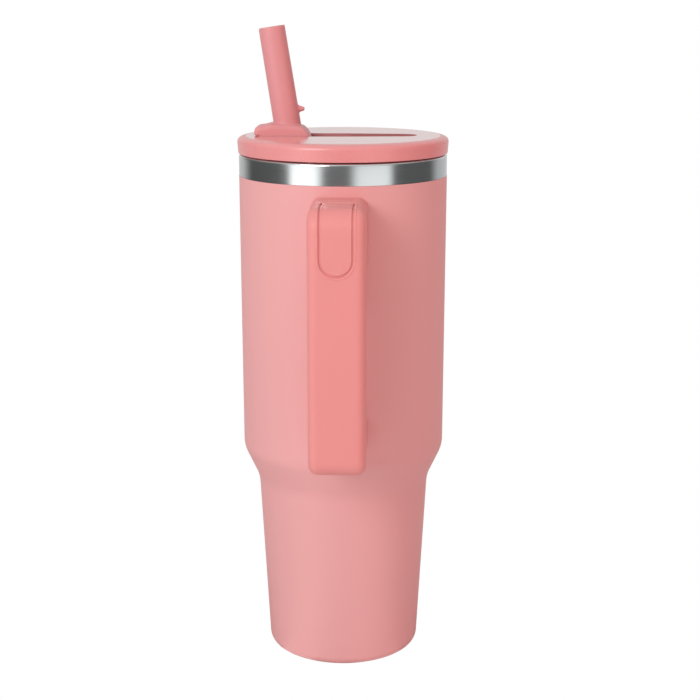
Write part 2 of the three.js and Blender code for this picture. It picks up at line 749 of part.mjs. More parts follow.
/** The body's outside, grown by a clearance, as a cutter. */
function bodyCutter() {
  const wall = bodyOutline(-GAP, PAD_STAND, BAND_BOTTOM);
  return lathe([at(0, PAD_STAND), ...wall, at(0, BAND_BOTTOM)]);
}

/** The inset panel's place on the front of the grip, as a cutter made smaller by a margin. */
function insetPlan(margin) {
  const half = INSET_HALF - margin;
  const shape = new THREE.Shape();
  shape.moveTo(half, HANDLE_TOP + OVER);
  shape.lineTo(half, INSET_BOTTOM + INSET_HALF);
  shape.absarc(0, INSET_BOTTOM + INSET_HALF, half, 0, -Math.PI, true);
  shape.lineTo(-half, HANDLE_TOP + OVER);
  shape.closePath();
  const depth = GRIP_OUT + OVER - INSET_BACK - margin;
  const options = { depth, bevelEnabled: false, curveSegments: 6 };
  const geometry = new THREE.ExtrudeGeometry(shape, options);
  return solidOf(geometry.rotateX(Math.PI / 2).translate(0, -INSET_BACK - margin, 0));
}

/** A round bar along Y, between two distances from the body's axis. */
function reachBar(z, from, to, radius) {
  return bar(new THREE.Vector3(0, -from, z), new THREE.Vector3(0, -to, z), radius);
}

/** The room of a bracket, grown by a margin. */
function bracketBlock(bottom, height, out, margin) {
  const half = BRACKET_HALF + margin;
  return block(
    [-half, -out - margin, bottom - margin],
    [half, -BODY_R / 2, bottom + height + margin],
  );
}

const upperBracketBottom = UPPER_SCREW_Z - BRACKET_UPPER_H / 2;

function makeHandle() {
  const solid = slabYZ(handleOutline(0), HANDLE_HALF, HANDLE_EDGE);
  const gap = slabYZ(gapOutline(), HANDLE_HALF + OVER);
  const recess = insetPlan(0).subtract(
    slabYZ(handleOutline(INSET_T + GAP), HANDLE_HALF),
  );
  const lowerHeadTop = HANDLE_BOTTOM + SCREW_HEAD_T + GAP;
  return solid
    .subtract(gap)
    .subtract(recess)
    .subtract(bracketBlock(upperBracketBottom, BRACKET_UPPER_H, BRACKET_UPPER_OUT, GAP))
    .subtract(bracketBlock(LOWER_BRACKET_Z, BRACKET_LOWER_H, BRACKET_LOWER_OUT, GAP))
    .subtract(reachBar(UPPER_SCREW_Z, BODY_R, GRIP_OUT, SCREW_R + GAP))
    .subtract(reachBar(UPPER_SCREW_Z, UPPER_SCREW_HEAD_Y - GAP, GRIP_OUT, SCREW_HEAD_R + GAP))
    .subtract(
      post(0, -LOWER_SCREW_Y, HANDLE_BOTTOM - OVER, LOWER_BRACKET_Z, SCREW_R + GAP),
    )
    .subtract(
      post(0, -LOWER_SCREW_Y, HANDLE_BOTTOM - OVER, lowerHeadTop, SCREW_HEAD_R + GAP),
    )
    .subtract(bodyCutter());
}

function makeHandleInset() {
  const skin = slabYZ(handleOutline(0), HANDLE_HALF).subtract(
    slabYZ(handleOutline(INSET_T), HANDLE_HALF + OVER),
  );
  const back = GRIP_OUT - INSET_T;
  const peg = reachBar(UPPER_SCREW_Z, back + INSET_T / 2, back - PEG_L, SCREW_HEAD_R);
  return skin.intersect(insetPlan(GAP)).add(peg);
}

function makeUpperBracket() {
  return bracketBlock(upperBracketBottom, BRACKET_UPPER_H, BRACKET_UPPER_OUT, 0)
    .subtract(bodyCutter())
    .subtract(reachBar(UPPER_SCREW_Z, BODY_R / 2, GRIP_OUT, SCREW_R + GAP));
}

function makeLowerBracket() {
  return bracketBlock(LOWER_BRACKET_Z, BRACKET_LOWER_H, BRACKET_LOWER_OUT, 0)
    .subtract(bodyCutter())
    .subtract(post(0, -LOWER_SCREW_Y, HANDLE_BOTTOM, HANDLE_TOP, SCREW_R + GAP));
}

function makeUpperScrew() {
  const end = BODY_R + 2 * OVER;
  const head = reachBar(
    UPPER_SCREW_Z,
    UPPER_SCREW_HEAD_Y,
    UPPER_SCREW_HEAD_Y + SCREW_HEAD_T,
    SCREW_HEAD_R,
  );
  return head.add(reachBar(UPPER_SCREW_Z, end, UPPER_SCREW_HEAD_Y + GAP, SCREW_R));
}

function makeLowerScrew() {
  const top = HANDLE_BOTTOM + SCREW_HEAD_T;
  const head = post(0, -LOWER_SCREW_Y, HANDLE_BOTTOM, top, SCREW_HEAD_R);
  const end = LOWER_BRACKET_Z + BRACKET_LOWER_H - GAP;
  return head.add(post(0, -LOWER_SCREW_Y, top - GAP, end, SCREW_R));
}

const tumbler = new THREE.Group();
tumbler.add(
  piece("powder_coat", makePowderCoat(), COAT_PINK),
  piece("outer_shell", makeOuterShell(), BRUSHED_STEEL),
  piece("inner_shell", makeInnerShell(), BRUSHED_STEEL),
  piece("outer_base", makeOuterBase(), BRUSHED_STEEL),
  piece("vacuum_cap", makeVacuumCap(), BRUSHED_STEEL),
  piece("getter", makeGetter(), BRUSHED_STEEL),
  piece("base_pad", makeBasePad(), SILICONE),
  piece("handle", makeHandle(), MOULDED_PINK),
  piece("handle_inset", makeHandleInset(), MOULDED_PINK),
  piece("upper_bracket", makeUpperBracket(), BRUSHED_STEEL),
  piece("lower_bracket", makeLowerBracket(), BRUSHED_STEEL),
  piece("upper_screw", makeUpperScrew(), BRUSHED_STEEL),
  piece("lower_screw", makeLowerScrew(), BRUSHED_STEEL),
  piece("lid_top", makeLidTop(), MOULDED_PINK),
  piece("lid_plug", makeLidPlug(), MOULDED_PINK),
  piece("lid_gasket", makeLidGasket(), SILICONE),
  piece("spout", makeSpout(), MOULDED_PINK),
  piece("spout_pin_front", makeSpoutPin(-1), BRUSHED_STEEL),
  piece("spout_pin_rear", makeSpoutPin(1), BRUSHED_STEEL),
  piece("spout_seal", makeSpoutSeal(), SILICONE),
  piece("vent_valve", makeVentValve(), SILICONE),
  piece("straw_socket", makeStrawSocket(), SILICONE),
  piece("straw", makeStraw(), CLEAR_PLASTIC),
  piece("lid_screw_inner", makeLidScrew(LID_SCREW_X[0]), BRUSHED_STEEL),
  piece("lid_screw_outer", makeLidScrew(LID_SCREW_X[1]), BRUSHED_STEEL),
);

export default tumbler;
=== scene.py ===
"""Insulated tumbler with a push-in lid, a flip spout, a straw and a D handle.

Each sub-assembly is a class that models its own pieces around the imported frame.
Sizes are in millimetres and meshes in metres, +Z up, with the handle to -Y.
"""

import json
import logging
import math
from dataclasses import dataclass
from enum import Enum
from typing import Any, Iterable, Sequence

import bmesh
import bpy
from mathutils import Matrix, Vector

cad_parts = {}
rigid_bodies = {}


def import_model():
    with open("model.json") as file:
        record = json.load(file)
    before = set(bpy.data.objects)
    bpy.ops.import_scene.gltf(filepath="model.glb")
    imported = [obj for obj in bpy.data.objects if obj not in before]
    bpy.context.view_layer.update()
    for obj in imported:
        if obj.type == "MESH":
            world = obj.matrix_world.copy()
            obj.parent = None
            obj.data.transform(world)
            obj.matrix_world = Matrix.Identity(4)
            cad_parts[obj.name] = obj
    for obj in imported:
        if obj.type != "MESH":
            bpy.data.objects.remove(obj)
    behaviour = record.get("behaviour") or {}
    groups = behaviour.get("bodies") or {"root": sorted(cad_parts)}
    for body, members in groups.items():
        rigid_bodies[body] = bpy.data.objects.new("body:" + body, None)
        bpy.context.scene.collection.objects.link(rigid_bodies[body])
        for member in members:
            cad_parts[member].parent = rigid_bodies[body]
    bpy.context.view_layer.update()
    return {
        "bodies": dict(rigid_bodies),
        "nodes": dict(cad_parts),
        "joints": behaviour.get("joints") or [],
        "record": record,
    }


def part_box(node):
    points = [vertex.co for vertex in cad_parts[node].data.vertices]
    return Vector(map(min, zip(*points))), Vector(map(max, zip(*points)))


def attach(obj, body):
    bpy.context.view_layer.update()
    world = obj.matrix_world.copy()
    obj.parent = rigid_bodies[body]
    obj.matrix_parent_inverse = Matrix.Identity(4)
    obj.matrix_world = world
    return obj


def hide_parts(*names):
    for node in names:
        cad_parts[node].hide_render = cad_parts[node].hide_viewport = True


LOG = logging.getLogger("tumbler")
MM = 0.001
TURN_STEPS = 144
SMALL_TURN_STEPS = 48
FILLET_STEPS = 8
SHARP_ANGLE = math.radians(32)
DOUBLES = 1e-7  # metres between two corners that are the same
BEVEL_DOUBLES = 2e-6  # the same, before a bevel
NEAR = 0.01  # how far from a plane still counts as on it
SLACK = 0.1
CUT_OVER = 2.0  # how far a cutter stands past what it cuts

Corner = tuple[float, float, float]
Point = tuple[float, float]


class Surface(Enum):
    """The kinds of fine surface that the tumbler's pieces have."""

    POWDER = "powder"
    MOULDED = "moulded"
    BRUSHED = "brushed"
    SOFT = "soft"


def linear(hex_colour: str) -> tuple[float, float, float, float]:
    """Turns a hex display colour into linear light.

    Args:
        hex_colour: Six hex digits.

    Returns:
        Red, green, blue and an alpha of one.
    """
    channels = [int(hex_colour[i : i + 2], 16) / 255 for i in (0, 2, 4)]
    light = [c / 12.92 if c <= 0.04045 else ((c + 0.055) / 1.055) ** 2.4 for c in channels]
    return (light[0], light[1], light[2], 1.0)


class SurfaceGroups:
    """Shader node groups for the fine surfaces, each built once."""

    def __init__(self) -> None:
        """Starts with no groups built."""
        self._built: dict[Surface, bpy.types.NodeTree] = {}

    def get(self, surface: Surface) -> bpy.types.NodeTree:
        """Gives the group of a surface, building it when it is first asked for.

        Args:
            surface: The kind of surface.

        Returns:
            A group with inputs Colour, Roughness, Scale, Mottle and Roughness Spread, and
            outputs Colour, Roughness and Height.
        """
        if surface not in self._built:
            self._built[surface] = self._build(surface)
        return self._built[surface]

    def _build(self, surface: Surface) -> bpy.types.NodeTree:
        """Builds one group.

        Args:
            surface: The kind of surface.

        Returns:
            The new node group.
        """
        stretch = (1.0, 1.0, 60.0) if surface is Surface.BRUSHED else (1.0, 1.0, 1.0)
        detail = {
            Surface.POWDER: 3.0,
            Surface.MOULDED: 2.0,
            Surface.BRUSHED: 4.0,
            Surface.SOFT: 1.0,
        }
        group = bpy.data.node_groups.new(f"{surface.value}_surface", "ShaderNodeTree")
        for label, kind in (("Colour", "Color"), ("Roughness", "Float"), ("Scale", "Float")):
            group.interface.new_socket(label, in_out="INPUT", socket_type=f"NodeSocket{kind}")
        for label in ("Mottle", "Roughness Spread"):
            group.interface.new_socket(label, in_out="INPUT", socket_type="NodeSocketFloat")
        for label, kind in (("Colour", "Color"), ("Roughness", "Float"), ("Height", "Float")):
            group.interface.new_socket(label, in_out="OUTPUT", socket_type=f"NodeSocket{kind}")
        nodes, links = group.nodes, group.links
        inputs = nodes.new("NodeGroupInput")
        outputs = nodes.new("NodeGroupOutput")
        place = nodes.new("ShaderNodeTexCoord")
        mapping = nodes.new("ShaderNodeMapping")
        mapping.inputs["Scale"].default_value = stretch
        links.new(place.outputs["Object"], mapping.inputs["Vector"])
        fine = nodes.new("ShaderNodeTexNoise")
        fine.inputs["Detail"].default_value = detail[surface]
        links.new(mapping.outputs["Vector"], fine.inputs["Vector"])
        links.new(inputs.outputs["Scale"], fine.inputs["Scale"])
        broad = nodes.new("ShaderNodeTexNoise")
        broad.inputs["Scale"].default_value = 18.0
        broad.inputs["Detail"].default_value = 2.0
        links.new(place.outputs["Object"], broad.inputs["Vector"])
        both = nodes.new("ShaderNodeMix")
        both.data_type = "FLOAT"
        both.inputs["Factor"].default_value = 0.45
        links.new(fine.outputs["Fac"], both.inputs["A"])
        links.new(broad.outputs["Fac"], both.inputs["B"])
        centred = nodes.new("ShaderNodeMath")
        centred.operation = "SUBTRACT"
        centred.inputs[1].default_value = 0.5
        links.new(both.outputs["Result"], centred.inputs[0])
        shade = self._scaled(group, centred.outputs[0], inputs.outputs["Mottle"], 1.0)
        tone = nodes.new("ShaderNodeHueSaturation")
        links.new(shade, tone.inputs["Value"])
        links.new(inputs.outputs["Colour"], tone.inputs["Color"])
        spread = inputs.outputs["Roughness Spread"]
        rough = self._scaled(group, centred.outputs[0], spread, inputs.outputs["Roughness"])
        links.new(tone.outputs["Color"], outputs.inputs["Colour"])
        links.new(rough, outputs.inputs["Roughness"])
        links.new(fine.outputs["Fac"], outputs.inputs["Height"])
        return group

    @staticmethod
    def _scaled(group: bpy.types.NodeTree, value: Any, factor: Any, base: Any) -> Any:
        """Adds a node that gives value times factor plus base.

        Args:
            group: The node tree.
            value: The varying socket.
            factor: The socket that scales it.
            base: A socket or a number that is added.

        Returns:
            The result's socket.
        """
        node = group.nodes.new("ShaderNodeMath")
        node.operation = "MULTIPLY_ADD"
        group.links.new(value, node.inputs[0])
        group.links.new(factor, node.inputs[1])
        if isinstance(base, float):
            node.inputs[2].default_value = base
        else:
            group.links.new(base, node.inputs[2])
        return node.outputs[0]


@dataclass(frozen=True)
class Finish:
    """One finish: a colour, a fine surface and its gloss."""

    name: str
    slot: str
    colour: str
    surface: Surface
    roughness: float
    metallic: float = 0.0
    scale: float = 900.0
    mottle: float = 0.05
    roughness_spread: float = 0.15
    bump: float = 0.05
    bump_depth: float = 0.00004
    coat: float = 0.0
    coat_roughness: float = 0.1
    anisotropic: float = 0.0
    subsurface: float = 0.0
    transmission: float = 0.0
    specular: float = 0.5

    def material(self, groups: SurfaceGroups) -> bpy.types.Material:
        """Builds the finish's material.

        Args:
            groups: The shared surface groups.

        Returns:
            The material.
        """
        made = bpy.data.materials.new(self.name)
        made.use_nodes = True
        nodes, links = made.node_tree.nodes, made.node_tree.links
        shader = nodes["Principled BSDF"]
        surface = nodes.new("ShaderNodeGroup")
        surface.node_tree = groups.get(self.surface)
        surface.inputs["Colour"].default_value = linear(self.colour)
        surface.inputs["Roughness"].default_value = self.roughness
        surface.inputs["Scale"].default_value = self.scale
        surface.inputs["Mottle"].default_value = self.mottle
        surface.inputs["Roughness Spread"].default_value = self.roughness_spread
        links.new(surface.outputs["Colour"], shader.inputs["Base Color"])
        links.new(surface.outputs["Roughness"], shader.inputs["Roughness"])
        bump = nodes.new("ShaderNodeBump")
        bump.inputs["Strength"].default_value = self.bump
        bump.inputs["Distance"].default_value = self.bump_depth
        links.new(surface.outputs["Height"], bump.inputs["Height"])
        links.new(bump.outputs["Normal"], shader.inputs["Normal"])
        shader.inputs["Metallic"].default_value = self.metallic
        shader.inputs["Coat Weight"].default_value = self.coat
        shader.inputs["Coat Roughness"].default_value = self.coat_roughness
        shader.inputs["Anisotropic"].default_value = self.anisotropic
        shader.inputs["Subsurface Weight"].default_value = self.subsurface
        shader.inputs["Subsurface Scale"].default_value = 0.002
        shader.inputs["Transmission Weight"].default_value = self.transmission
        shader.inputs["Specular IOR Level"].default_value = self.specular
        return made


COAT_FINISH = Finish(
    "pink_powder_coat", "powder_coat", "E5A4A3", Surface.POWDER, 0.52, scale=2600.0, mottle=0.06,
    bump=0.35, bump_depth=0.00005, specular=0.36,
)
MOULDED_FINISH = Finish(
    "moulded_pink", "moulded_pink", "E5908D", Surface.MOULDED, 0.5, scale=3200.0, mottle=0.04,
    bump=0.12, bump_depth=0.00003, subsurface=0.05, specular=0.3,
)
SPOUT_FINISH = Finish(
    "spout_pink", "moulded_pink", "DC9193", Surface.MOULDED, 0.42, scale=3200.0, mottle=0.04,
    bump=0.12, bump_depth=0.00003, subsurface=0.05, specular=0.38,
)
LID_FINISH = Finish(
    "lid_pink", "glossy_pink", "E49292", Surface.MOULDED, 0.27, scale=3200.0, mottle=0.03,
    bump=0.08, bump_depth=0.00002, subsurface=0.05,
)
LID_FACE_FINISH = Finish(
    "lid_face_gloss", "glossy_pink", "E99A93", Surface.MOULDED, 0.16, scale=500.0, mottle=0.02,
    roughness_spread=0.05, bump=0.02, bump_depth=0.00001, coat=1.0, coat_roughness=0.2,
)
# Painted shade: the groove's darker pink stands in for the shadow inside the groove, not for a
# different plastic.
GROOVE_SHADE_FINISH = Finish(
    "groove_painted_shade", "glossy_pink", "B26F70", Surface.MOULDED, 0.45, scale=3200.0, mottle=0.04,
    bump=0.1, bump_depth=0.00003, specular=0.35,
)
BAND_FINISH = Finish(
    "brushed_band", "brushed_steel", "D0D4D4", Surface.BRUSHED, 0.17, metallic=1.0, scale=55.0,
    mottle=0.09, roughness_spread=0.16, bump=0.05, bump_depth=0.00003, anisotropic=0.35,
)
LINER_FINISH = Finish(
    "satin_liner", "brushed_steel", "BFBFBC", Surface.BRUSHED, 0.36, metallic=1.0, scale=40.0,
    mottle=0.12, roughness_spread=0.2, bump=0.08,
)
HARDWARE_FINISH = Finish(
    "bright_hardware", "zinc_plated", "B9BBBD", Surface.BRUSHED, 0.3, metallic=1.0, scale=200.0,
    mottle=0.1, bump=0.05,
)
SILICONE_FINISH = Finish(
    "pale_silicone", "silicone", "E4DCD8", Surface.SOFT, 0.55, scale=1200.0, mottle=0.03,
    bump=0.06, subsurface=0.3,
)
FOOT_FINISH = Finish(
    "foot_silicone", "foot_silicone", "CE9292", Surface.SOFT, 0.7, scale=1500.0, mottle=0.05,
    bump=0.12,
)
STRAW_FINISH = Finish(
    "clear_straw", "clear_straw", "F4EFED", Surface.SOFT, 0.18, scale=300.0, mottle=0.02,
    roughness_spread=0.06, bump=0.02, transmission=0.7,
)


class Dresser:
    """Gives pieces their finish, their body and the node that they stand for."""

    def __init__(self) -> None:
        """Starts with no materials made."""
        self._groups = SurfaceGroups()
        self._materials: dict[str, bpy.types.Material] = {}

    def material(self, finish: Finish) -> bpy.types.Material:
        """Gives a finish's material, made once.

        Args:
            finish: The finish.

        Returns:
            Its material.
        """
        if finish.name not in self._materials:
            self._materials[finish.name] = finish.material(self._groups)
        return self._materials[finish.name]

    def dress(self, piece: bpy.types.Object, finish: Finish, body: str, *nodes: str) -> None:
        """Finishes a new piece and ties it to the frame.

        Args:
            piece: The piece.
            finish: What it is made of.
            body: The body that it moves with.
            nodes: The CAD nodes that it stands for.
        """
        if not piece.data.materials:
            piece.data.materials.append(self.material(finish))
        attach(piece, body)
        if nodes:
            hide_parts(*nodes)
        LOG.info("%s: %d faces, %s, on %s", piece.name, len(piece.data.polygons), finish.name, body)

    def dress_node(self, frame: dict[str, Any], node: str, finish: Finish) -> None:
        """Gives a CAD node that stays visible its material.

        Args:
            frame: The loaded frame.
            node: The node's name.
            finish: What it is made of.
        """
        piece = frame["nodes"][node]
        piece.data.materials.clear()
        piece.data.materials.append(self.material(finish))
        LOG.info("%s: kept from the frame, %s", node, finish.name)


def rounded(corners: Sequence[Corner], steps: int = FILLET_STEPS) -> list[Point]:
    """Rounds the corners of an outline.

    Args:
        corners: Each corner's two coordinates and its fillet radius.
        steps: How many steps each arc takes.

    Returns:
        The outline's points, open at its ends.
    """
    points: list[Point] = []
    last = len(corners) - 1
    for i, (x, y, radius) in enumerate(corners):
        corner = Vector((x, y))
        if radius <= 0 or i in (0, last):
            points.append((x, y))
            continue
        before = (Vector(corners[i - 1][:2]) - corner).normalized()
        after = (Vector(corners[i + 1][:2]) - corner).normalized()
        half = before.angle(after) / 2
        centre = corner + (before + after).normalized() * (radius / math.sin(half))
        start = corner + before * (radius / math.tan(half)) - centre
        end = corner + after * (radius / math.tan(half)) - centre
        sweep = -start.angle_signed(end)
        for k in range(steps + 1):
            spoke = start.copy()
            spoke.rotate(Matrix.Rotation(sweep * k / steps, 2))
            points.append((centre.x + spoke.x, centre.y + spoke.y))
    return points


def moved_in(points: Sequence[Point], distance: float) -> list[Point]:
    """Moves an open line of points sideways to its left.

    Args:
        points: The line.
        distance: How far it moves.

    Returns:
        The moved points.
    """
    moved: list[Point] = []
    for i, (x, y) in enumerate(points):
        before = points[max(i - 1, 0)]
        after = points[min(i + 1, len(points) - 1)]
        along = (Vector(after) - Vector(before)).normalized()
        moved.append((x - along.y * distance, y + along.x * distance))
    return moved


def shade(mesh: bmesh.types.BMesh) -> None:
    """Makes a bmesh's faces smooth and its creases sharp.

    Args:
        mesh: The bmesh.
    """
    for face in mesh.faces:
        face.smooth = True
    for edge in mesh.edges:
        edge.smooth = not (edge.is_manifold and edge.calc_face_angle(0.0) > SHARP_ANGLE)


def finished_mesh(name: str, mesh: bmesh.types.BMesh) -> bpy.types.Object:
    """Turns a bmesh into a scene object with smooth faces and sharp creases.

    Args:
        name: The object's name.
        mesh: The bmesh, which is freed.

    Returns:
        The new object, at the origin.
    """
    shade(mesh)
    data = bpy.data.meshes.new(name)
    mesh.to_mesh(data)
    mesh.free()
    piece = bpy.data.objects.new(name, data)
    bpy.context.scene.collection.objects.link(piece)
    return piece


def turned(
    name: str,
    profile: Sequence[Point],
    steps: int = TURN_STEPS,
    centre: Point = (0.0, 0.0),
) -> bpy.types.Object:
    """Spins a closed profile about an upright axis.

    Args:
        name: The object's name.
        profile: Radius and height of each point, closed back to the first unless it ends on
            the axis.
        steps: How many steps the turn takes.
        centre: Where the axis stands.

    Returns:
        The new object.
    """
    mesh = bmesh.new()
    corners = [mesh.verts.new((r * MM, 0, z * MM)) for r, z in profile]
    for start, end in zip(corners, corners[1:] + corners[:1]):
        if start.co.x > 0 or end.co.x > 0:
            mesh.edges.new((start, end))
    bmesh.ops.spin(
        mesh,
        geom=[*mesh.verts, *mesh.edges],
        cent=(0, 0, 0),
        axis=(0, 0, 1),
        angle=2 * math.pi,
        steps=steps,
        use_merge=True,
    )
    bmesh.ops.remove_doubles(mesh, verts=mesh.verts, dist=DOUBLES)
    bmesh.ops.recalc_face_normals(mesh, faces=mesh.faces)
    bmesh.ops.translate(mesh, verts=mesh.verts, vec=(centre[0] * MM, centre[1] * MM, 0))
    return finished_mesh(name, mesh)


def bar(
    name: str,
    start: Sequence[float],
    end: Sequence[float],
    radii: Point,
    sides: int,
) -> bpy.types.Object:
    """Makes a straight round bar between two points.

    Args:
        name: The object's name.
        start: Its first end in millimetres.
        end: Its other end.
        radii: The radius at each end.
        sides: How many sides it has.

    Returns:
        The new object.
    """
    first, last = Vector(start) * MM, Vector(end) * MM
    along = last - first
    mesh = bmesh.new()
    turn = Vector((0, 0, 1)).rotation_difference(along).to_matrix().to_4x4()
    bmesh.ops.create_cone(
        mesh,
        cap_ends=True,
        segments=sides,
        radius1=radii[0] * MM,
        radius2=radii[1] * MM,
        depth=along.length,
        matrix=Matrix.Translation((first + last) / 2) @ turn,
    )
    return finished_mesh(name, mesh)


def extruded(
    name: str,
    outline: Sequence[Sequence[float]],
    along: Sequence[float],
) -> bpy.types.Object:
    """Extrudes a flat outline.

    Args:
        name: The object's name.
        outline: The outline's points in millimetres.
        along: How far and which way it is extruded.

    Returns:
        The new object.
    """
    mesh = bmesh.new()
    face = mesh.faces.new([mesh.verts.new(Vector(point) * MM) for point in outline])
    made = bmesh.ops.extrude_face_region(mesh, geom=[face])
    top = [item for item in made["geom"] if isinstance(item, bmesh.types.BMVert)]
    bmesh.ops.translate(mesh, verts=top, vec=Vector(along) * MM)
    bmesh.ops.recalc_face_normals(mesh, faces=mesh.faces)
    return finished_mesh(name, mesh)


def apply_modifiers(piece: bpy.types.Object) -> None:
    """Puts the result of a piece's modifiers into its mesh.

    Args:
        piece: The piece.
    """
    graph = bpy.context.evaluated_depsgraph_get()
    data = bpy.data.meshes.new_from_object(piece.evaluated_get(graph))
    piece.modifiers.clear()
    piece.data = data


def combine(piece: bpy.types.Object, tools: Iterable[bpy.types.Object], operation: str) -> None:
    """Joins solids to a piece, or cuts them out of it.

    Args:
        piece: The piece that is changed.
        tools: The solids, which are removed afterwards.
        operation: UNION, DIFFERENCE or INTERSECT.
    """
    for tool in tools:
        modifier = piece.modifiers.new("combine", "BOOLEAN")
        modifier.operation = operation
        modifier.solver = "EXACT"
        modifier.object = tool
        apply_modifiers(piece)
        bpy.data.objects.remove(tool)


def crease(piece: bpy.types.Object) -> None:
    """Sets a piece's faces smooth and its creases sharp again.

    Args:
        piece: The piece.
    """
    mesh = bmesh.new()
    mesh.from_mesh(piece.data)
    bmesh.ops.remove_doubles(mesh, verts=mesh.verts, dist=DOUBLES)
    bmesh.ops.dissolve_degenerate(mesh, edges=mesh.edges, dist=DOUBLES)
    shade(mesh)
    mesh.to_mesh(piece.data)
    mesh.free()


def weigh(piece: bpy.types.Object) -> None:
    """Leans a piece's smooth normals towards its large faces, so that flats shade flat.

    Args:
        piece: The piece.
    """
    crease(piece)
    lean = piece.modifiers.new("lean", "WEIGHTED_NORMAL")
    lean.keep_sharp = True
    lean.weight = 90
    apply_modifiers(piece)


def bevel_where(piece: bpy.types.Object, chosen: Any, width: float, segments: int = 4) -> None:
    """Rounds the sharp edges that a test picks.

    Args:
        piece: The piece.
        chosen: A test that takes an edge's two ends in millimetres.
        width: The bevel's width in millimetres.
        segments: How many faces round each edge.
    """
    mesh = bmesh.new()
    mesh.from_mesh(piece.data)
    bmesh.ops.remove_doubles(mesh, verts=mesh.verts, dist=BEVEL_DOUBLES)
    bmesh.ops.dissolve_degenerate(mesh, edges=mesh.edges, dist=BEVEL_DOUBLES)
    edges = [
        edge
        for edge in mesh.edges
        if edge.is_manifold
        and edge.calc_face_angle(0.0) > SHARP_ANGLE
        and chosen(edge.verts[0].co / MM, edge.verts[1].co / MM)
    ]
    bmesh.ops.bevel(
        mesh,
        geom=edges,
        offset=width * MM,
        segments=segments,
        profile=0.5,
        affect="EDGES",
        material=-1,
        clamp_overlap=True,
    )
    mesh.to_mesh(piece.data)
    mesh.free()
    crease(piece)


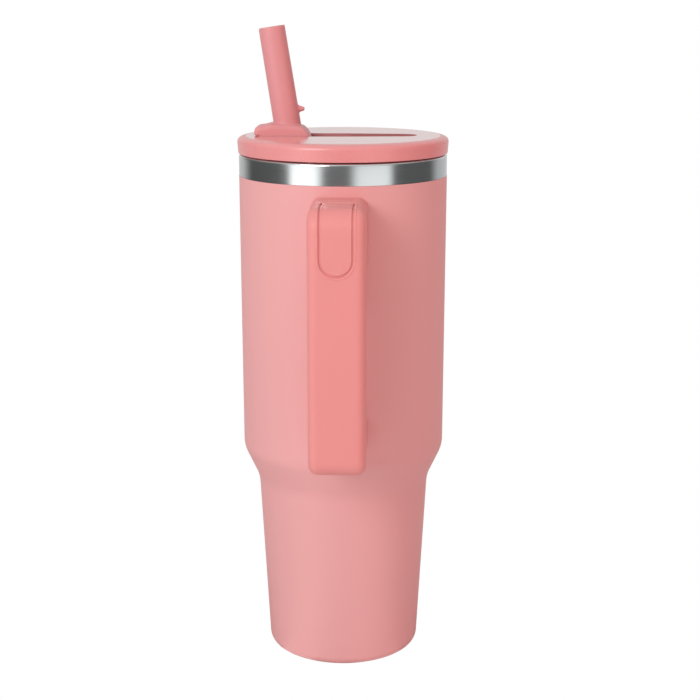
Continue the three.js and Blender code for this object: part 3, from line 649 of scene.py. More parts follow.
@dataclass
class Body:
    """The steel cup: coat, both walls, base and foot."""

    mouth_r: float = 50.0
    band_bottom: float = 239.6
    top: float = 249.8
    shoulder: Corner = (49.5, 105.6, 14.3)
    neck: Corner = (42.1, 89.8, 21.0)
    base_r: float = 37.2
    base_fillet: float = 5.0
    least_fillet: float = 1.0
    coat_roll: float = 0.12
    stand: float = 0.4
    coat: float = 0.3
    skin_gap: float = 0.1
    steel: float = 0.5
    vacuum: float = 2.8
    liner: float = 0.5
    floor: float = 8.0
    foot_r: float = 31.0

    @property
    def liner_out(self) -> float:
        """How far the inner cup's outside lies in from the body's outside."""
        return self.coat + self.skin_gap + self.steel + self.vacuum

    @property
    def inner_r(self) -> float:
        """The radius of the cup's mouth inside."""
        return self.mouth_r - self.liner_out - self.liner

    def outline(self, inwards: float, bottom: float, top: float) -> list[Point]:
        """The body's outline from its underside up, moved inwards.

        Args:
            inwards: How far it lies in from the outside.
            bottom: The height of its underside.
            top: The height of its top.

        Returns:
            Radius and height of each point.
        """
        lean = (self.neck[0] - self.base_r) / self.neck[1]
        slope = self.shoulder[0] - self.neck[0], self.shoulder[1] - self.neck[1]
        shift = inwards * math.tan(math.atan2(*slope) / 2)
        base_fillet = max(self.base_fillet - inwards, self.least_fillet)
        shoulder_fillet = max(self.shoulder[2] - inwards, self.least_fillet)
        corners = [
            (self.foot_r + 2.0, bottom, 0.0),
            (self.base_r + lean * bottom - inwards, bottom, base_fillet),
            (self.neck[0] - inwards, self.neck[1] + shift, self.neck[2] + inwards),
            (self.shoulder[0] - inwards, self.shoulder[1] + shift, shoulder_fillet),
            (self.mouth_r - inwards, self.band_bottom, 0.0),
            (self.mouth_r - inwards, max(top, self.band_bottom + 0.01), 0.0),
        ]
        return [point for point in rounded(corners) if point[1] <= top + 0.001]

    def build(self, dresser: Dresser) -> None:
        """Builds and dresses the cup's pieces.

        Args:
            dresser: What gives them their finish.
        """
        dresser.dress(self._coat(), COAT_FINISH, "cup", "powder_coat")
        dresser.dress(self._shell(), BAND_FINISH, "cup", "outer_shell")
        dresser.dress(self._liner(), LINER_FINISH, "cup", "inner_shell")
        dresser.dress(self._base(), BAND_FINISH, "cup", "outer_base")
        dresser.dress(self._foot(), FOOT_FINISH, "cup", "base_pad")

    def _coat(self) -> bpy.types.Object:
        """The powder coat, rolled over at the band's lower edge."""
        outside = self.outline(0.0, self.stand, self.band_bottom)[:-1]
        outside.append((self.mouth_r - self.coat_roll / 6, self.band_bottom - self.coat_roll))
        inside = moved_in(outside, self.coat)
        edge = (self.mouth_r - self.coat_roll, self.band_bottom)
        return turned("coat", [*outside, edge, *reversed(inside)])

    def _shell(self) -> bpy.types.Object:
        """The outer steel wall with its bare band and rolled lip."""
        hidden = self.coat + self.skin_gap
        bottom = self.stand + hidden
        wall = self.outline(hidden, bottom, self.band_bottom)
        band_r = self.mouth_r - self.skin_gap
        weld_r = self.mouth_r - self.liner_out + 0.3
        lip = rounded(
            [
                (band_r, self.band_bottom + self.skin_gap, 0.0),
                (band_r, self.top, 1.3),
                (weld_r, self.top, 0.0),
            ]
        )
        inner_r = self.mouth_r - hidden - self.steel
        inside = self.outline(hidden + self.steel, bottom + self.steel, self.top - 2.0)
        foot = [
            (self.foot_r + self.steel, bottom + self.steel),
            (self.foot_r + self.steel, 3.0),
            (self.foot_r, 3.0),
            (self.foot_r, bottom + 0.6),
            (self.foot_r + 0.6, bottom),
        ]
        under_lip = [(weld_r, self.top - self.steel), (inner_r - 1.0, self.top - self.steel)]
        return turned("steel_wall", [*wall, *lip, *under_lip, *reversed(inside), *foot])

    def _liner(self) -> bpy.types.Object:
        """The inner cup with its rounded mouth edge."""
        outside = self.outline(self.liner_out, self.floor, self.top - 0.2)
        inside = self.outline(self.liner_out + self.liner, self.floor + self.liner, self.top - 0.2)
        outside[0] = (0.0, self.floor)
        inside[0] = (0.0, self.floor + self.liner)
        edge = (self.mouth_r - self.liner_out - self.liner / 2, self.top)
        return turned("inner_cup", [*outside, edge, *reversed(inside)])

    def _base(self) -> bpy.types.Object:
        """The welded base disc with its pressed ring."""
        low = self.stand + 1.6
        high = low + self.steel
        profile = [
            (2.0, low),
            (18.0, low),
            (19.0, low + 0.25),
            (24.0, low + 0.25),
            (25.0, low),
            (self.foot_r - 0.3, low),
        ]
        back = [(r, z + high - low) for r, z in reversed(profile)]
        return turned("base_disc", [*profile, *back])

    def _foot(self) -> bpy.types.Object:
        """The soft foot pad with a moulded tread ring."""
        radius = self.foot_r - 0.3
        top = self.stand + 1.3
        profile = rounded(
            [
                (0.0, 0.6, 0.0),
                (21.0, 0.6, 0.4),
                (22.0, 0.0, 0.4),
                (25.2, 0.0, 0.3),
                (25.6, 0.4, 0.15),
                (26.4, 0.4, 0.15),
                (26.8, 0.0, 0.3),
                (radius, 0.0, 0.7),
                (radius, top, 0.2),
                (0.0, top, 0.0),
            ],
            4,
        )
        return turned("foot_pad", profile)


@dataclass
class Handle:
    """The D handle, its inset panel and what holds it on."""

    out: float = 92.0
    grip: float = 15.0
    half: float = 13.0
    top: float = 234.7
    bottom: float = 115.2
    upper_arm: float = 32.0
    lower_arm: float = 17.0
    top_fillet: float = 9.0
    bottom_fillet: float = 7.0
    gap_fillet: float = 9.0
    edge: float = 4.5
    gap_edge: float = 2.4
    inset_half: float = 7.8
    inset_bottom: float = 205.2
    inset_back: float = 66.0
    inset_corner: float = 3.0
    inset_floor: float = 0.8
    skin: float = 0.22
    seam: float = 1.05
    bead: float = 0.38
    bead_r: float = 0.6
    body_r: float = 50.25
    start: float = 40.0
    screw_out: float = 56.6
    counterbore_r: float = 3.3
    counterbore_h: float = 2.5

    def outline(self, inwards: float) -> list[Point]:
        """The handle's side outline, from its lower back corner round to its upper one.

        Args:
            inwards: How far it lies in from the outside.

        Returns:
            Distance from the body's axis and height of each point.
        """
        return rounded(
            [
                (self.start, self.bottom + inwards, 0.0),
                (self.out - inwards, self.bottom + inwards, self.bottom_fillet - inwards),
                (self.out - inwards, self.top - inwards, self.top_fillet - inwards),
                (self.start, self.top - inwards, 0.0),
            ]
        )

    def _gap(self) -> list[Point]:
        """The finger gap's outline."""
        return rounded(
            [
                (self.start, self.bottom + self.lower_arm, 0.0),
                (self.out - self.grip, self.bottom + self.lower_arm, self.gap_fillet),
                (self.out - self.grip, self.top - self.upper_arm, self.gap_fillet),
                (self.start, self.top - self.upper_arm, 0.0),
            ]
        )

    def _solid(self, name: str, inwards: float) -> bpy.types.Object:
        """The handle's solid before the inset is let in.

        Args:
            name: The object's name.
            inwards: How far its faces lie in from the handle's outside.

        Returns:
            The new object.
        """
        outer, inner = self.outline(inwards), self._gap()
        side = self.half - inwards
        loop = [*outer, *reversed(inner)]
        solid = extruded(name, [(-side, -y, z) for y, z in loop], (2 * side, 0, 0))
        gap_low, gap_high = self.bottom + self.lower_arm, self.top - self.upper_arm

        def clear(a: Vector, b: Vector) -> bool:
            """Whether an edge lies outside the arms' hidden ends."""
            return max(-a.y, -b.y) > self.start + 0.5

        def on_outer(a: Vector, b: Vector) -> bool:
            """Whether an edge runs along the outer outline of a side face."""
            flat = abs(abs(a.x) - side) < NEAR and abs(a.x - b.x) < NEAR
            return flat and not on_gap(a, b) and clear(a, b)

        def on_gap(a: Vector, b: Vector) -> bool:
            """Whether an edge runs along the finger gap's outline."""
            middle = (a + b) / 2
            inside_z = gap_low - SLACK < middle.z < gap_high + SLACK
            inside_y = -middle.y < self.out - self.grip + SLACK
            return inside_z and inside_y and abs(abs(middle.x) - side) < NEAR

        bevel_where(solid, on_outer, self.edge - inwards, 7)
        bevel_where(solid, lambda a, b: on_gap(a, b) and clear(a, b), self.gap_edge, 5)
        return solid

    def _plan(self, margin: float) -> bpy.types.Object:
        """The prism that cuts out the inset's place.

        Args:
            margin: How much smaller than the recess it is.

        Returns:
            The new object.
        """
        half = self.inset_half - margin
        arc_z = self.inset_bottom + self.inset_half
        steps = 24
        arc = [
            (half * math.cos(math.pi * k / steps), arc_z - half * math.sin(math.pi * k / steps))
            for k in range(steps + 1)
        ]
        outline = [(half, self.top + 3.0), *arc, (-half, self.top + 3.0)]
        back = self.inset_back + margin
        points = [(x, -back, z) for x, z in outline]
        plan = extruded("inset_plan", points, (0, -(self.out + 3.0 - back), 0))

        def on_back(a: Vector, b: Vector) -> bool:
            """Whether an edge is an upright corner at the inset's inner end."""
            upright = abs(a.x - b.x) < NEAR and abs(a.z - b.z) > 9.0
            return upright and max(abs(a.y + back), abs(b.y + back)) < NEAR

        bevel_where(plan, on_back, self.inset_corner - margin, 6)
        return plan

    def build(self, dresser: Dresser) -> None:
        """Builds and dresses the handle's pieces.

        Args:
            dresser: What gives them their finish.
        """
        handle = self._solid("grip_and_arms", self.skin)
        recess = self._plan(0.0)
        combine(recess, [self._core("recess_core", self.inset_floor + 0.05)], "DIFFERENCE")
        combine(handle, [recess], "DIFFERENCE")
        combine(handle, [self._counterbore(), self._body_cutter()], "DIFFERENCE")
        weigh(handle)
        dresser.dress(handle, MOULDED_FINISH, "cup", "handle")
        dresser.dress(self._bead(), MOULDED_FINISH, "cup")
        panel = self._solid("handle_panel", self.skin)
        combine(panel, [self._plan(self.seam)], "INTERSECT")
        combine(panel, [self._core("panel_core", self.inset_floor)], "DIFFERENCE")
        level = self.skin + 0.05
        flat_top = self.top - level

        def on_face(a: Vector, b: Vector) -> bool:
            """Whether an edge rims the panel's face, below the handle's flat top."""
            rims = self._depth(a) < level and self._depth(b) < level
            return rims and min(a.z, b.z) < flat_top - 0.2

        bevel_where(panel, on_face, self.bead, 4)
        weigh(panel)
        dresser.dress(panel, MOULDED_FINISH, "cup", "handle_inset")

    def _depth(self, point: Vector) -> float:
        """How far a point lies in from the handle's outer outline.

        Args:
            point: The point in millimetres.

        Returns:
            The distance in millimetres.
        """
        reach = self.top_fillet
        away = Vector((-point.y - self.out + reach, point.z - self.top + reach))
        if away.x > 0 and away.y > 0:
            return reach - away.length
        return reach - max(away.x, away.y)

    def _on_outline(self, along: float, inwards: float) -> Point:
        """A point on the handle's outer outline, by the way from the recess's inner end.

        Args:
            along: The way over the top, round the fillet and down the grip.
            inwards: How far it lies in from the outside.

        Returns:
            Distance from the body's axis and height.
        """
        reach = self.top_fillet
        flat = self.out - reach - self.inset_back
        arc = reach * math.pi / 2
        if along < flat:
            return (self.inset_back + along, self.top - inwards)
        if along < flat + arc:
            turn = (along - flat) / reach
            radius = reach - inwards
            across = self.out - reach + radius * math.sin(turn)
            return (across, self.top - reach + radius * math.cos(turn))
        return (self.out - inwards, self.top - reach - (along - flat - arc))

    def _bead(self) -> bpy.types.Object:
        """The fine raised bead round the recess."""
        margin = self.bead_r * 0.75
        half = self.inset_half + margin
        corner = self.inset_corner + margin
        length = self.out - 2 * self.top_fillet - self.inset_back + self.top - self.inset_bottom
        length += self.top_fillet * math.pi / 2
        low = length - self.inset_half
        steps = 10
        quarter = [math.pi / 2 * k / steps for k in range(steps + 1)]
        right = [
            (half - corner + corner * math.sin(q), corner - margin - corner * math.cos(q))
            for q in quarter
        ]
        count = 40
        first = corner - margin
        side = [(half, first + (low - corner + margin) * k / count) for k in range(1, count)]
        bottom = [(half * math.cos(2 * q), low + half * math.sin(2 * q)) for q in quarter]
        path = [*right, *side, *bottom]
        path += [(-x, along) for x, along in reversed([*right, *side])]
        curve = bpy.data.curves.new("bead_path", "CURVE")
        curve.dimensions = "3D"
        curve.bevel_depth = self.bead_r * MM
        curve.bevel_resolution = 3
        spline = curve.splines.new("POLY")
        spline.use_cyclic_u = True
        spline.points.add(len(path) - 1)
        for point, (x, along) in zip(spline.points, path):
            out, z = self._on_outline(along, self.bead_r)
            point.co = (x * MM, -out * MM, z * MM, 1.0)
        sweep = bpy.data.objects.new("bead_sweep", curve)
        bpy.context.scene.collection.objects.link(sweep)
        graph = bpy.context.evaluated_depsgraph_get()
        data = bpy.data.meshes.new_from_object(sweep.evaluated_get(graph))
        bpy.data.objects.remove(sweep)
        bead = bpy.data.objects.new("inset_bead", data)
        bpy.context.scene.collection.objects.link(bead)
        crease(bead)
        return bead

    def _core(self, name: str, inwards: float) -> bpy.types.Object:
        """The handle's outline moved in, as wide as the whole handle.

        Args:
            name: The object's name.
            inwards: How far it lies in from the outside.

        Returns:
            The new object.
        """
        side = self.half + 2.0
        return extruded(name, [(-side, -y, z) for y, z in self.outline(inwards)], (2 * side, 0, 0))

    def _counterbore(self) -> bpy.types.Object:
        """The lower screw's counterbore."""
        low, high = self.bottom - 1.0, self.bottom + self.counterbore_h
        ends = (0, -self.screw_out, low), (0, -self.screw_out, high)
        return bar("counterbore", *ends, (self.counterbore_r, self.counterbore_r), 32)

    def _body_cutter(self) -> bpy.types.Object:
        """The body's outside, which the arms end against."""
        ends = (0, 0, self.bottom - 5.0), (0, 0, self.top + 5.0)
        return bar("body_cutter", *ends, (self.body_r, self.body_r), TURN_STEPS)


@dataclass
class Lid:
    """The lid: top moulding, plug, gasket and the soft parts under it."""

    radius: float = 50.6
    skirt_r: float = 50.2
    bottom: float = 250.2
    top: float = 258.3
    face_r: float = 44.6
    edge_power: float = 2.7
    plate: float = 2.4
    rim: float = 3.0
    mouth_r: float = 45.8
    tub_bottom: float = 237.0
    hinge_x: float = -27.5
    hinge_z: float = 252.7
    barrel_r: float = 13.0
    barrel_half: float = 8.3
    sweep: float = 0.4
    axis_z: float = 250.18
    groove_r: float = 6.9
    groove_end: float = 35.4
    groove_end_r: float = 6.8
    groove_wide: float = 10.6
    groove_draft: float = 2.6
    vent_x: float = -11.5
    straw_x: float = -23.05
    straw_r: float = 4.2
    straw_wall: float = 0.8
    screws: tuple[float, float] = (2.0, 24.1)
    gap: float = 0.3
    edge_drop: float = 3.0
    plug_wall: float = 1.2
    thick_wall: float = 3.0
    thick_top: float = 242.6
    vent_slot: float = 3.5
    vent_r: float = 3.0
    vent_hole_r: float = 0.9
    screw_hole_r: float = 1.8
    seal_r: float = 6.5
    seal_bore_r: float = 4.3

    @property
    def plug_r(self) -> float:
        """The plug's outer radius."""
        return self.mouth_r - 0.8

    @property
    def plug_bottom(self) -> float:
        """The height of the plug's underside."""
        return self.tub_bottom - 2.3

    def _edge(self) -> list[Point]:
        """The lid's rounded upper edge, from the wall to the flat face."""
        low = self.top - self.edge_drop
        steps = 14
        power = 2 / self.edge_power
        points = []
        for k in range(steps + 1):
            angle = math.pi / 2 * k / steps
            reach = (self.radius - self.face_r) * math.cos(angle) ** power
            points.append((self.face_r + reach, low + (self.top - low) * math.sin(angle) ** power))
        return points

    def _groove(self) -> bpy.types.Object:
        """The groove's cutter: a drafted U channel inside a plan that narrows to a round end."""
        start = self.hinge_x + self.barrel_r - 3.8
        high = self.top + CUT_OVER
        steps = 24
        arc = [
            (
                self.groove_r * math.cos(math.pi * k / steps),
                self.axis_z - self.groove_r * math.sin(math.pi * k / steps),
            )
            for k in range(steps + 1)
        ]
        wide = self.groove_r + self.groove_draft
        section = [(wide, high), *arc, (-wide, high)]
        length = self.groove_end + CUT_OVER - start
        channel = extruded("groove_cutter", [(start, y, z) for y, z in section], (length, 0, 0))
        end_x = self.groove_end - self.groove_end_r
        tip = [
            (
                end_x + self.groove_end_r * math.sin(math.pi * k / steps),
                -self.groove_end_r * math.cos(math.pi * k / steps),
            )
            for k in range(steps + 1)
        ]
        plan = [(start - 2.0, -self.groove_wide), *tip, (start - 2.0, self.groove_wide)]
        corners = [(x, y, self.tub_bottom) for x, y in plan]
        prism = extruded("groove_plan", corners, (0, 0, high - self.tub_bottom))
        combine(channel, [prism], "INTERSECT")
        return channel

    def _pocket(self) -> bpy.types.Object:
        """The barrel's pocket, as a cutter."""
        half = self.barrel_half + self.sweep
        reach = self.barrel_r + self.sweep
        ends = (self.hinge_x, -half, self.hinge_z), (self.hinge_x, half, self.hinge_z)
        return bar("pocket_cutter", *ends, (reach, reach), 96)

    def _block(self, name: str, low: Sequence[float], high: Sequence[float]) -> bpy.types.Object:
        """A box between two corners.

        Args:
            name: The object's name.
            low: Its lowest corner.
            high: Its highest corner.

        Returns:
            The new object.
        """
        outline = [(low[0], low[1]), (high[0], low[1]), (high[0], high[1]), (low[0], high[1])]
        return extruded(name, [(x, y, low[2]) for x, y in outline], (0, 0, high[2] - low[2]))

    def _cap(self) -> bpy.types.Object:
        """The lid's top moulding."""
        rim_r = self.radius - self.rim
        under = self.top - self.plate
        wall = rounded(
            [
                (rim_r, self.bottom, 0.0),
                (self.skirt_r, self.bottom, 0.35),
                (self.radius, self.top - self.edge_drop, 0.0),
            ],
            4,
        )
        profile = [
            (0.0, under),
            (rim_r - 0.6, under),
            (rim_r, under - 0.6),
            (rim_r, self.bottom),
            *wall[1:-1],
            *self._edge(),
            (0.0, self.top),
        ]
        cap = turned("lid_moulding", profile, 180)
        cut_half = self.barrel_half + 2.0
        groove_half = self.groove_r + self.groove_draft + 1.6
        middle = self.top - self.plate / 2
        tub = self._block(
            "tub",
            (-self.mouth_r, -cut_half, self.tub_bottom),
            (self.hinge_x + 15.0, cut_half, middle),
        )
        channel = self._block(
            "channel_tub",
            (self.hinge_x, -groove_half, self.tub_bottom),
            (self.groove_end + 1.6, groove_half, middle),
        )
        combine(tub, [channel], "UNION")
        low_r = self.plug_r - self.thick_wall - self.gap
        high_r = self.plug_r - self.plug_wall - self.gap
        step_z = self.thick_top + self.gap
        room = turned(
            "tub_room",
            [
                (0.0, self.tub_bottom - 1.0),
                (low_r, self.tub_bottom - 1.0),
                (low_r, step_z),
                (high_r, step_z),
                (high_r, middle + 1),
                (0.0, middle + 1),
            ],
            96,
        )
        combine(tub, [room], "INTERSECT")
        combine(cap, [tub], "UNION")
        low = self.tub_bottom - CUT_OVER
        vent = self._block(
            "vent_cutter",
            (self.vent_x, -self.vent_r, low),
            (self.vent_x + self.vent_slot, self.vent_r, self.axis_z),
        )
        ends = (self.straw_x, 0, low), (self.straw_x, 0, self.hinge_z)
        seal = bar("seal_cutter", *ends, (self.seal_r + self.gap, self.seal_r + self.gap), 48)
        wells = [
            bar("well_cutter", (x, 0, low), (x, 0, self.axis_z), (self.vent_r, self.vent_r), 32)
            for x in (self.vent_x, self.vent_x + self.vent_slot)
        ]
        combine(cap, [self._pocket(), self._groove(), vent, seal, *wells], "DIFFERENCE")

        def on_face(a: Vector, b: Vector) -> bool:
            """Whether an edge lies in the lid's flat top face, away from its rim."""
            flat = min(a.z, b.z) > self.top - 0.01
            return flat and math.hypot(a.x, a.y) < self.face_r + 1.0

        bevel_where(cap, on_face, 0.5)
        weigh(cap)
        return cap

    def build(self, dresser: Dresser) -> None:
        """Builds and dresses the lid's pieces.

        Args:
            dresser: What gives them their finish.
        """
        cap = self._cap()
        self._finish_cap(cap, dresser)
        dresser.dress(cap, LID_FINISH, "lid", "lid_top")
        dresser.dress(self._plug(), MOULDED_FINISH, "lid", "lid_plug")
        dresser.dress(self._gasket(), SILICONE_FINISH, "gasket", "lid_gasket")
        dresser.dress(self._socket(), SILICONE_FINISH, "lid", "straw_socket")
        dresser.dress(self._straw(), STRAW_FINISH, "lid", "straw")
        dresser.dress(self._seal(), SILICONE_FINISH, "lid", "spout_seal")
        dresser.dress(self._valve(), SILICONE_FINISH, "lid", "vent_valve")

    def _finish_cap(self, cap: bpy.types.Object, dresser: Dresser) -> None:
        """Gives the cap a satin wall, a glossy face and a groove whose darker colour is painted
        shade.

        Args:
            cap: The cap.
            dresser: What holds the materials.
        """
        cap.data.materials.clear()
        cap.data.materials.append(dresser.material(LID_FINISH))
        cap.data.materials.append(dresser.material(LID_FACE_FINISH))
        cap.data.materials.append(dresser.material(GROOVE_SHADE_FINISH))
        wide = self.groove_r + self.groove_draft + 1.0
        for face in cap.data.polygons:
            centre = face.center / MM
            flat = face.normal.z > 0.995 and centre.z > self.top - 0.05
            inside = abs(centre.y) < wide and self.hinge_x < centre.x < self.groove_end + 0.3
            # Faces sunk inside the groove get the darker painted shade material.
            painted_shade = inside and centre.z < self.top - 0.35 and face.normal.z > -0.1
            face.material_index = 1 if flat else 2 if painted_shade else 0

    def _plug(self) -> bpy.types.Object:
        """The plug that goes into the cup's mouth."""
        outer, bottom, floor = self.plug_r, self.plug_bottom, self.tub_bottom - self.gap
        flange_r = self.radius - self.rim - self.gap
        profile = [
            (0.0, bottom),
            (outer - 1.4, bottom),
            (outer - 0.4, bottom + 0.4),
            (outer, bottom + 1.4),
            (outer, 238.4),
            (outer - 1.8, 238.4),
            (outer - 1.8, 241.4),
            (outer, 241.4),
            (outer, self.bottom),
            (flange_r, self.bottom),
            (flange_r, self.bottom + 1.5),
            (outer, self.bottom + 1.5),
            (outer, self.top - self.plate - self.gap),
            (outer - self.plug_wall, self.top - self.plate - self.gap),
            (outer - self.plug_wall, self.thick_top),
            (outer - self.thick_wall, self.thick_top),
            (outer - self.thick_wall, floor),
            (0.0, floor),
        ]
        plug = turned("plug_cup", profile)
        x = self.straw_x
        inner_r, outer_r, low, high = 7.2, 9.2, 219.0, bottom + 0.5
        sleeve = [(inner_r, high, 0), (outer_r, high, 0), (outer_r, low, 0.6), (inner_r, low, 0)]
        combine(plug, [turned("collar", rounded(sleeve, 4), 64, (x, 0))], "UNION")

        def hole(at: float, radius: float, sides: int) -> bpy.types.Object:
            """An upright cutter through the plug's floor."""
            ends = (at, 0, self.tub_bottom - 7.0), (at, 0, self.tub_bottom + 3.0)
            return bar("hole", *ends, (radius, radius), sides)

        holes = [hole(x, self.seal_bore_r, 48), hole(self.vent_x, self.vent_hole_r, 24)]
        holes += [hole(screw_x, self.screw_hole_r, 24) for screw_x in self.screws]
        combine(plug, holes, "DIFFERENCE")
        crease(plug)
        return plug

    def _gasket(self) -> bpy.types.Object:
        """The gasket with its two sealing lips."""
        inner = self.plug_r - 1.5
        outer = self.mouth_r - 0.3
        profile = rounded(
            [
                (inner, 238.7, 0.0),
                (self.plug_r - 0.2, 238.7, 0.2),
                (outer, 238.95, 0.15),
                (outer, 239.35, 0.15),
                (self.plug_r - 0.3, 239.9, 0.2),
                (outer, 240.4, 0.15),
                (outer, 240.8, 0.15),
                (self.plug_r - 0.2, 241.1, 0.2),
                (inner, 241.1, 0.0),
            ],
            3,
        )
        return turned("gasket_ring", profile)

    def _socket(self) -> bpy.types.Object:
        """The soft sleeve that grips the straw."""
        top = self.plug_bottom - self.gap
        inner_r, outer_r, low = 4.5, 6.9, 217.0
        profile = rounded(
            [
                (inner_r, low + 0.6, 0.0),
                (inner_r + 0.4, low, 0.2),
                (outer_r - 0.5, low, 0.4),
                (outer_r, low + 0.8, 0.3),
                (outer_r, top, 0.3),
                (inner_r, top, 0.0),
            ],
            4,
        )
        return turned("straw_sleeve", profile, 64, (self.straw_x, 0))

    def _straw(self) -> bpy.types.Object:
        """The straw with a moulded stop bead under its socket."""
        inner, outer = self.straw_r - self.straw_wall, self.straw_r
        low, bead, high = 15.5, 214.0, self.plug_bottom - self.gap
        profile = rounded(
            [
                (inner, low + 0.3, 0.0),
                (inner + 0.4, low, 0.25),
                (outer, low + 0.4, 0.25),
                (outer, bead, 0.3),
                (outer + 0.7, bead + 0.7, 0.3),
                (outer + 0.7, bead + 1.5, 0.3),
                (outer, bead + 2.2, 0.3),
                (outer, high, 0.25),
                (inner, high, 0.0),
            ],
            4,
        )
        return turned("drinking_straw", profile, 64, (self.straw_x, 0))

    def _seal(self) -> bpy.types.Object:
        """The seat under the barrel, hollowed to its radius."""
        low, high = self.tub_bottom, self.tub_bottom + 13.0
        corners = [
            (self.seal_bore_r, low),
            (self.seal_r, low),
            (self.seal_r, high),
            (self.seal_bore_r, high),
        ]
        seal = turned("barrel_seat", corners, 64, (self.straw_x, 0))
        combine(seal, [self._pocket(), self._groove()], "DIFFERENCE")
        crease(seal)
        return seal

    def _valve(self) -> bpy.types.Object:
        """The vent's seat with a soft raised ring."""
        low, hole_r, outer_r = self.tub_bottom, self.vent_hole_r, self.vent_r - self.gap
        profile = rounded(
            [
                (hole_r, low, 0.0),
                (outer_r, low, 0.2),
                (outer_r, low + 2.0, 0.3),
                (outer_r - 0.9, low + 2.2, 0.2),
                (hole_r + 0.4, low + 1.8, 0.2),
                (hole_r, low + 1.8, 0.0),
            ],
            4,
        )
        return turned("vent_seat", profile, 48, (self.vent_x, 0))


@dataclass
class Spout:
    """The flip spout: leaning tube, saddle on its barrel, and vent nub."""

    hinge_x: float = -27.5
    hinge_z: float = 252.7
    barrel_r: float = 13.0
    half: float = 8.3
    edge: float = 2.4
    lean: float = math.radians(8.83)
    offset: float = 2.52
    reach: float = 56.7
    tube_r: float = 6.5
    tip_r: float = 6.25
    bore_r: float = 4.3
    toe_x: float = -42.0
    toe_bottom: float = 258.42
    toe_height: float = 2.4
    toe_run: float = 4.2
    top: float = 264.1
    fall: float = 1.0
    nub_r: float = 1.5
    nub_length: float = 2.8
    nub_reach: float = 17.0
    pin_start: float = 5.3
    pin_end: float = 12.0
    pin_r: float = 2.0
    voxel: float = 0.4
    smoothing: int = 12

    def on_tube(self, along: float, beside: float) -> tuple[float, float, float]:
        """A point by its distance along the tube and beside the hinge.

        Args:
            along: Distance from the hinge along the tube.
            beside: Distance from the hinge across the tube, in the tumbler's middle plane.

        Returns:
            The point in millimetres.
        """
        sine, cosine = math.sin(self.lean), math.cos(self.lean)
        x = self.hinge_x - along * sine + beside * cosine
        return (x, 0.0, self.hinge_z + along * cosine + beside * sine)

    def build(self, dresser: Dresser) -> None:
        """Builds and dresses the spout.

        Args:
            dresser: What gives it its finish.
        """
        rough = self.half + 1.0
        ends = (self.hinge_x, -rough, self.hinge_z), (self.hinge_x, rough, self.hinge_z)
        spout = bar("flip_spout", *ends, (self.barrel_r, self.barrel_r), 128)
        tube = bar(
            "tube",
            self.on_tube(self.barrel_r / 2, self.offset),
            self.on_tube(self.reach, self.offset),
            (self.tube_r, self.tip_r),
            96,
        )
        nub = bar(
            "nub",
            self.on_tube(self.nub_reach + 0.2, self.offset + self.bore_r),
            self.on_tube(self.nub_reach - 0.6, self.offset + self.tube_r + self.nub_length),
            (self.nub_r * 1.5, self.nub_r * 0.62),
            32,
        )
        combine(spout, [self._toe()], "UNION")
        combine(spout, [self._under()], "INTERSECT")
        combine(spout, [tube, nub], "UNION")
        bore = bar(
            "bore",
            self.on_tube(-self.barrel_r - 2.0, self.offset),
            self.on_tube(self.reach + 2.0, self.offset),
            (self.bore_r, self.bore_r),
            64,
        )
        pins = [
            bar(
                "pin_bore",
                (self.hinge_x, side * self.pin_start, self.hinge_z),
                (self.hinge_x, side * self.pin_end, self.hinge_z),
                (self.pin_r, self.pin_r),
                32,
            )
            for side in (-1, 1)
        ]
        combine(spout, [bore, *pins], "DIFFERENCE")
        self._blend(spout)
        dresser.dress(spout, SPOUT_FINISH, "spout", "spout")

    def _toe(self) -> bpy.types.Object:
        """The saddle's blunt outer end."""
        rough = self.half + 1.0
        left, high = self.toe_x - 1.0, self.top + 1.0
        corners = [
            (self.hinge_x, self.toe_bottom),
            (left, self.toe_bottom),
            (left, high),
            (self.hinge_x, high),
        ]
        return extruded("toe", [(x, -rough, z) for x, z in corners], (0, 2 * rough, 0))

    def _under(self) -> bpy.types.Object:
        """The room under the saddle's low crown, with its long edges rounded."""
        low = self.hinge_z - self.barrel_r - 2.0
        right = self.hinge_x + self.barrel_r + 2.0
        shoulder = Vector((self.toe_x, self.top - self.fall))
        start = Vector((self.toe_x, self.toe_bottom + self.toe_height))
        end = Vector((self.toe_x + self.toe_run, self.top - self.fall))
        curve = [
            start * (1 - t) ** 2 + shoulder * 2 * t * (1 - t) + end * t**2
            for t in (k / 6 for k in range(7))
        ]
        crown = [
            *[(p.x, p.y) for p in curve],
            (self.hinge_x - self.barrel_r / 2, self.top),
            (self.hinge_x + self.barrel_r / 2, self.top - self.fall),
            (self.hinge_x + self.barrel_r * 0.78, self.top - 2 * self.fall),
            (right, self.toe_bottom),
        ]
        outline = [(right, low), (self.toe_x, low), *crown]
        under = extruded("under", [(x, -self.half, z) for x, z in outline], (0, 2 * self.half, 0))

        def on_crown(a: Vector, b: Vector) -> bool:
            """Whether an edge runs along the crown on either side."""
            return abs(a.y - b.y) < 0.01 and min(a.z, b.z) > self.toe_bottom + 1.0

        bevel_where(under, on_crown, self.edge, 5)
        return under

    def _blend(self, spout: bpy.types.Object) -> None:
        """Melts the joined shapes into one moulding with soft fillets.

        Args:
            spout: The spout.
        """
        remesh = spout.modifiers.new("melt", "REMESH")
        remesh.mode = "VOXEL"
        remesh.voxel_size = self.voxel * MM
        remesh.use_smooth_shade = True
        soften = spout.modifiers.new("soften", "SMOOTH")
        soften.factor = 0.5
        soften.iterations = self.smoothing
        apply_modifiers(spout)


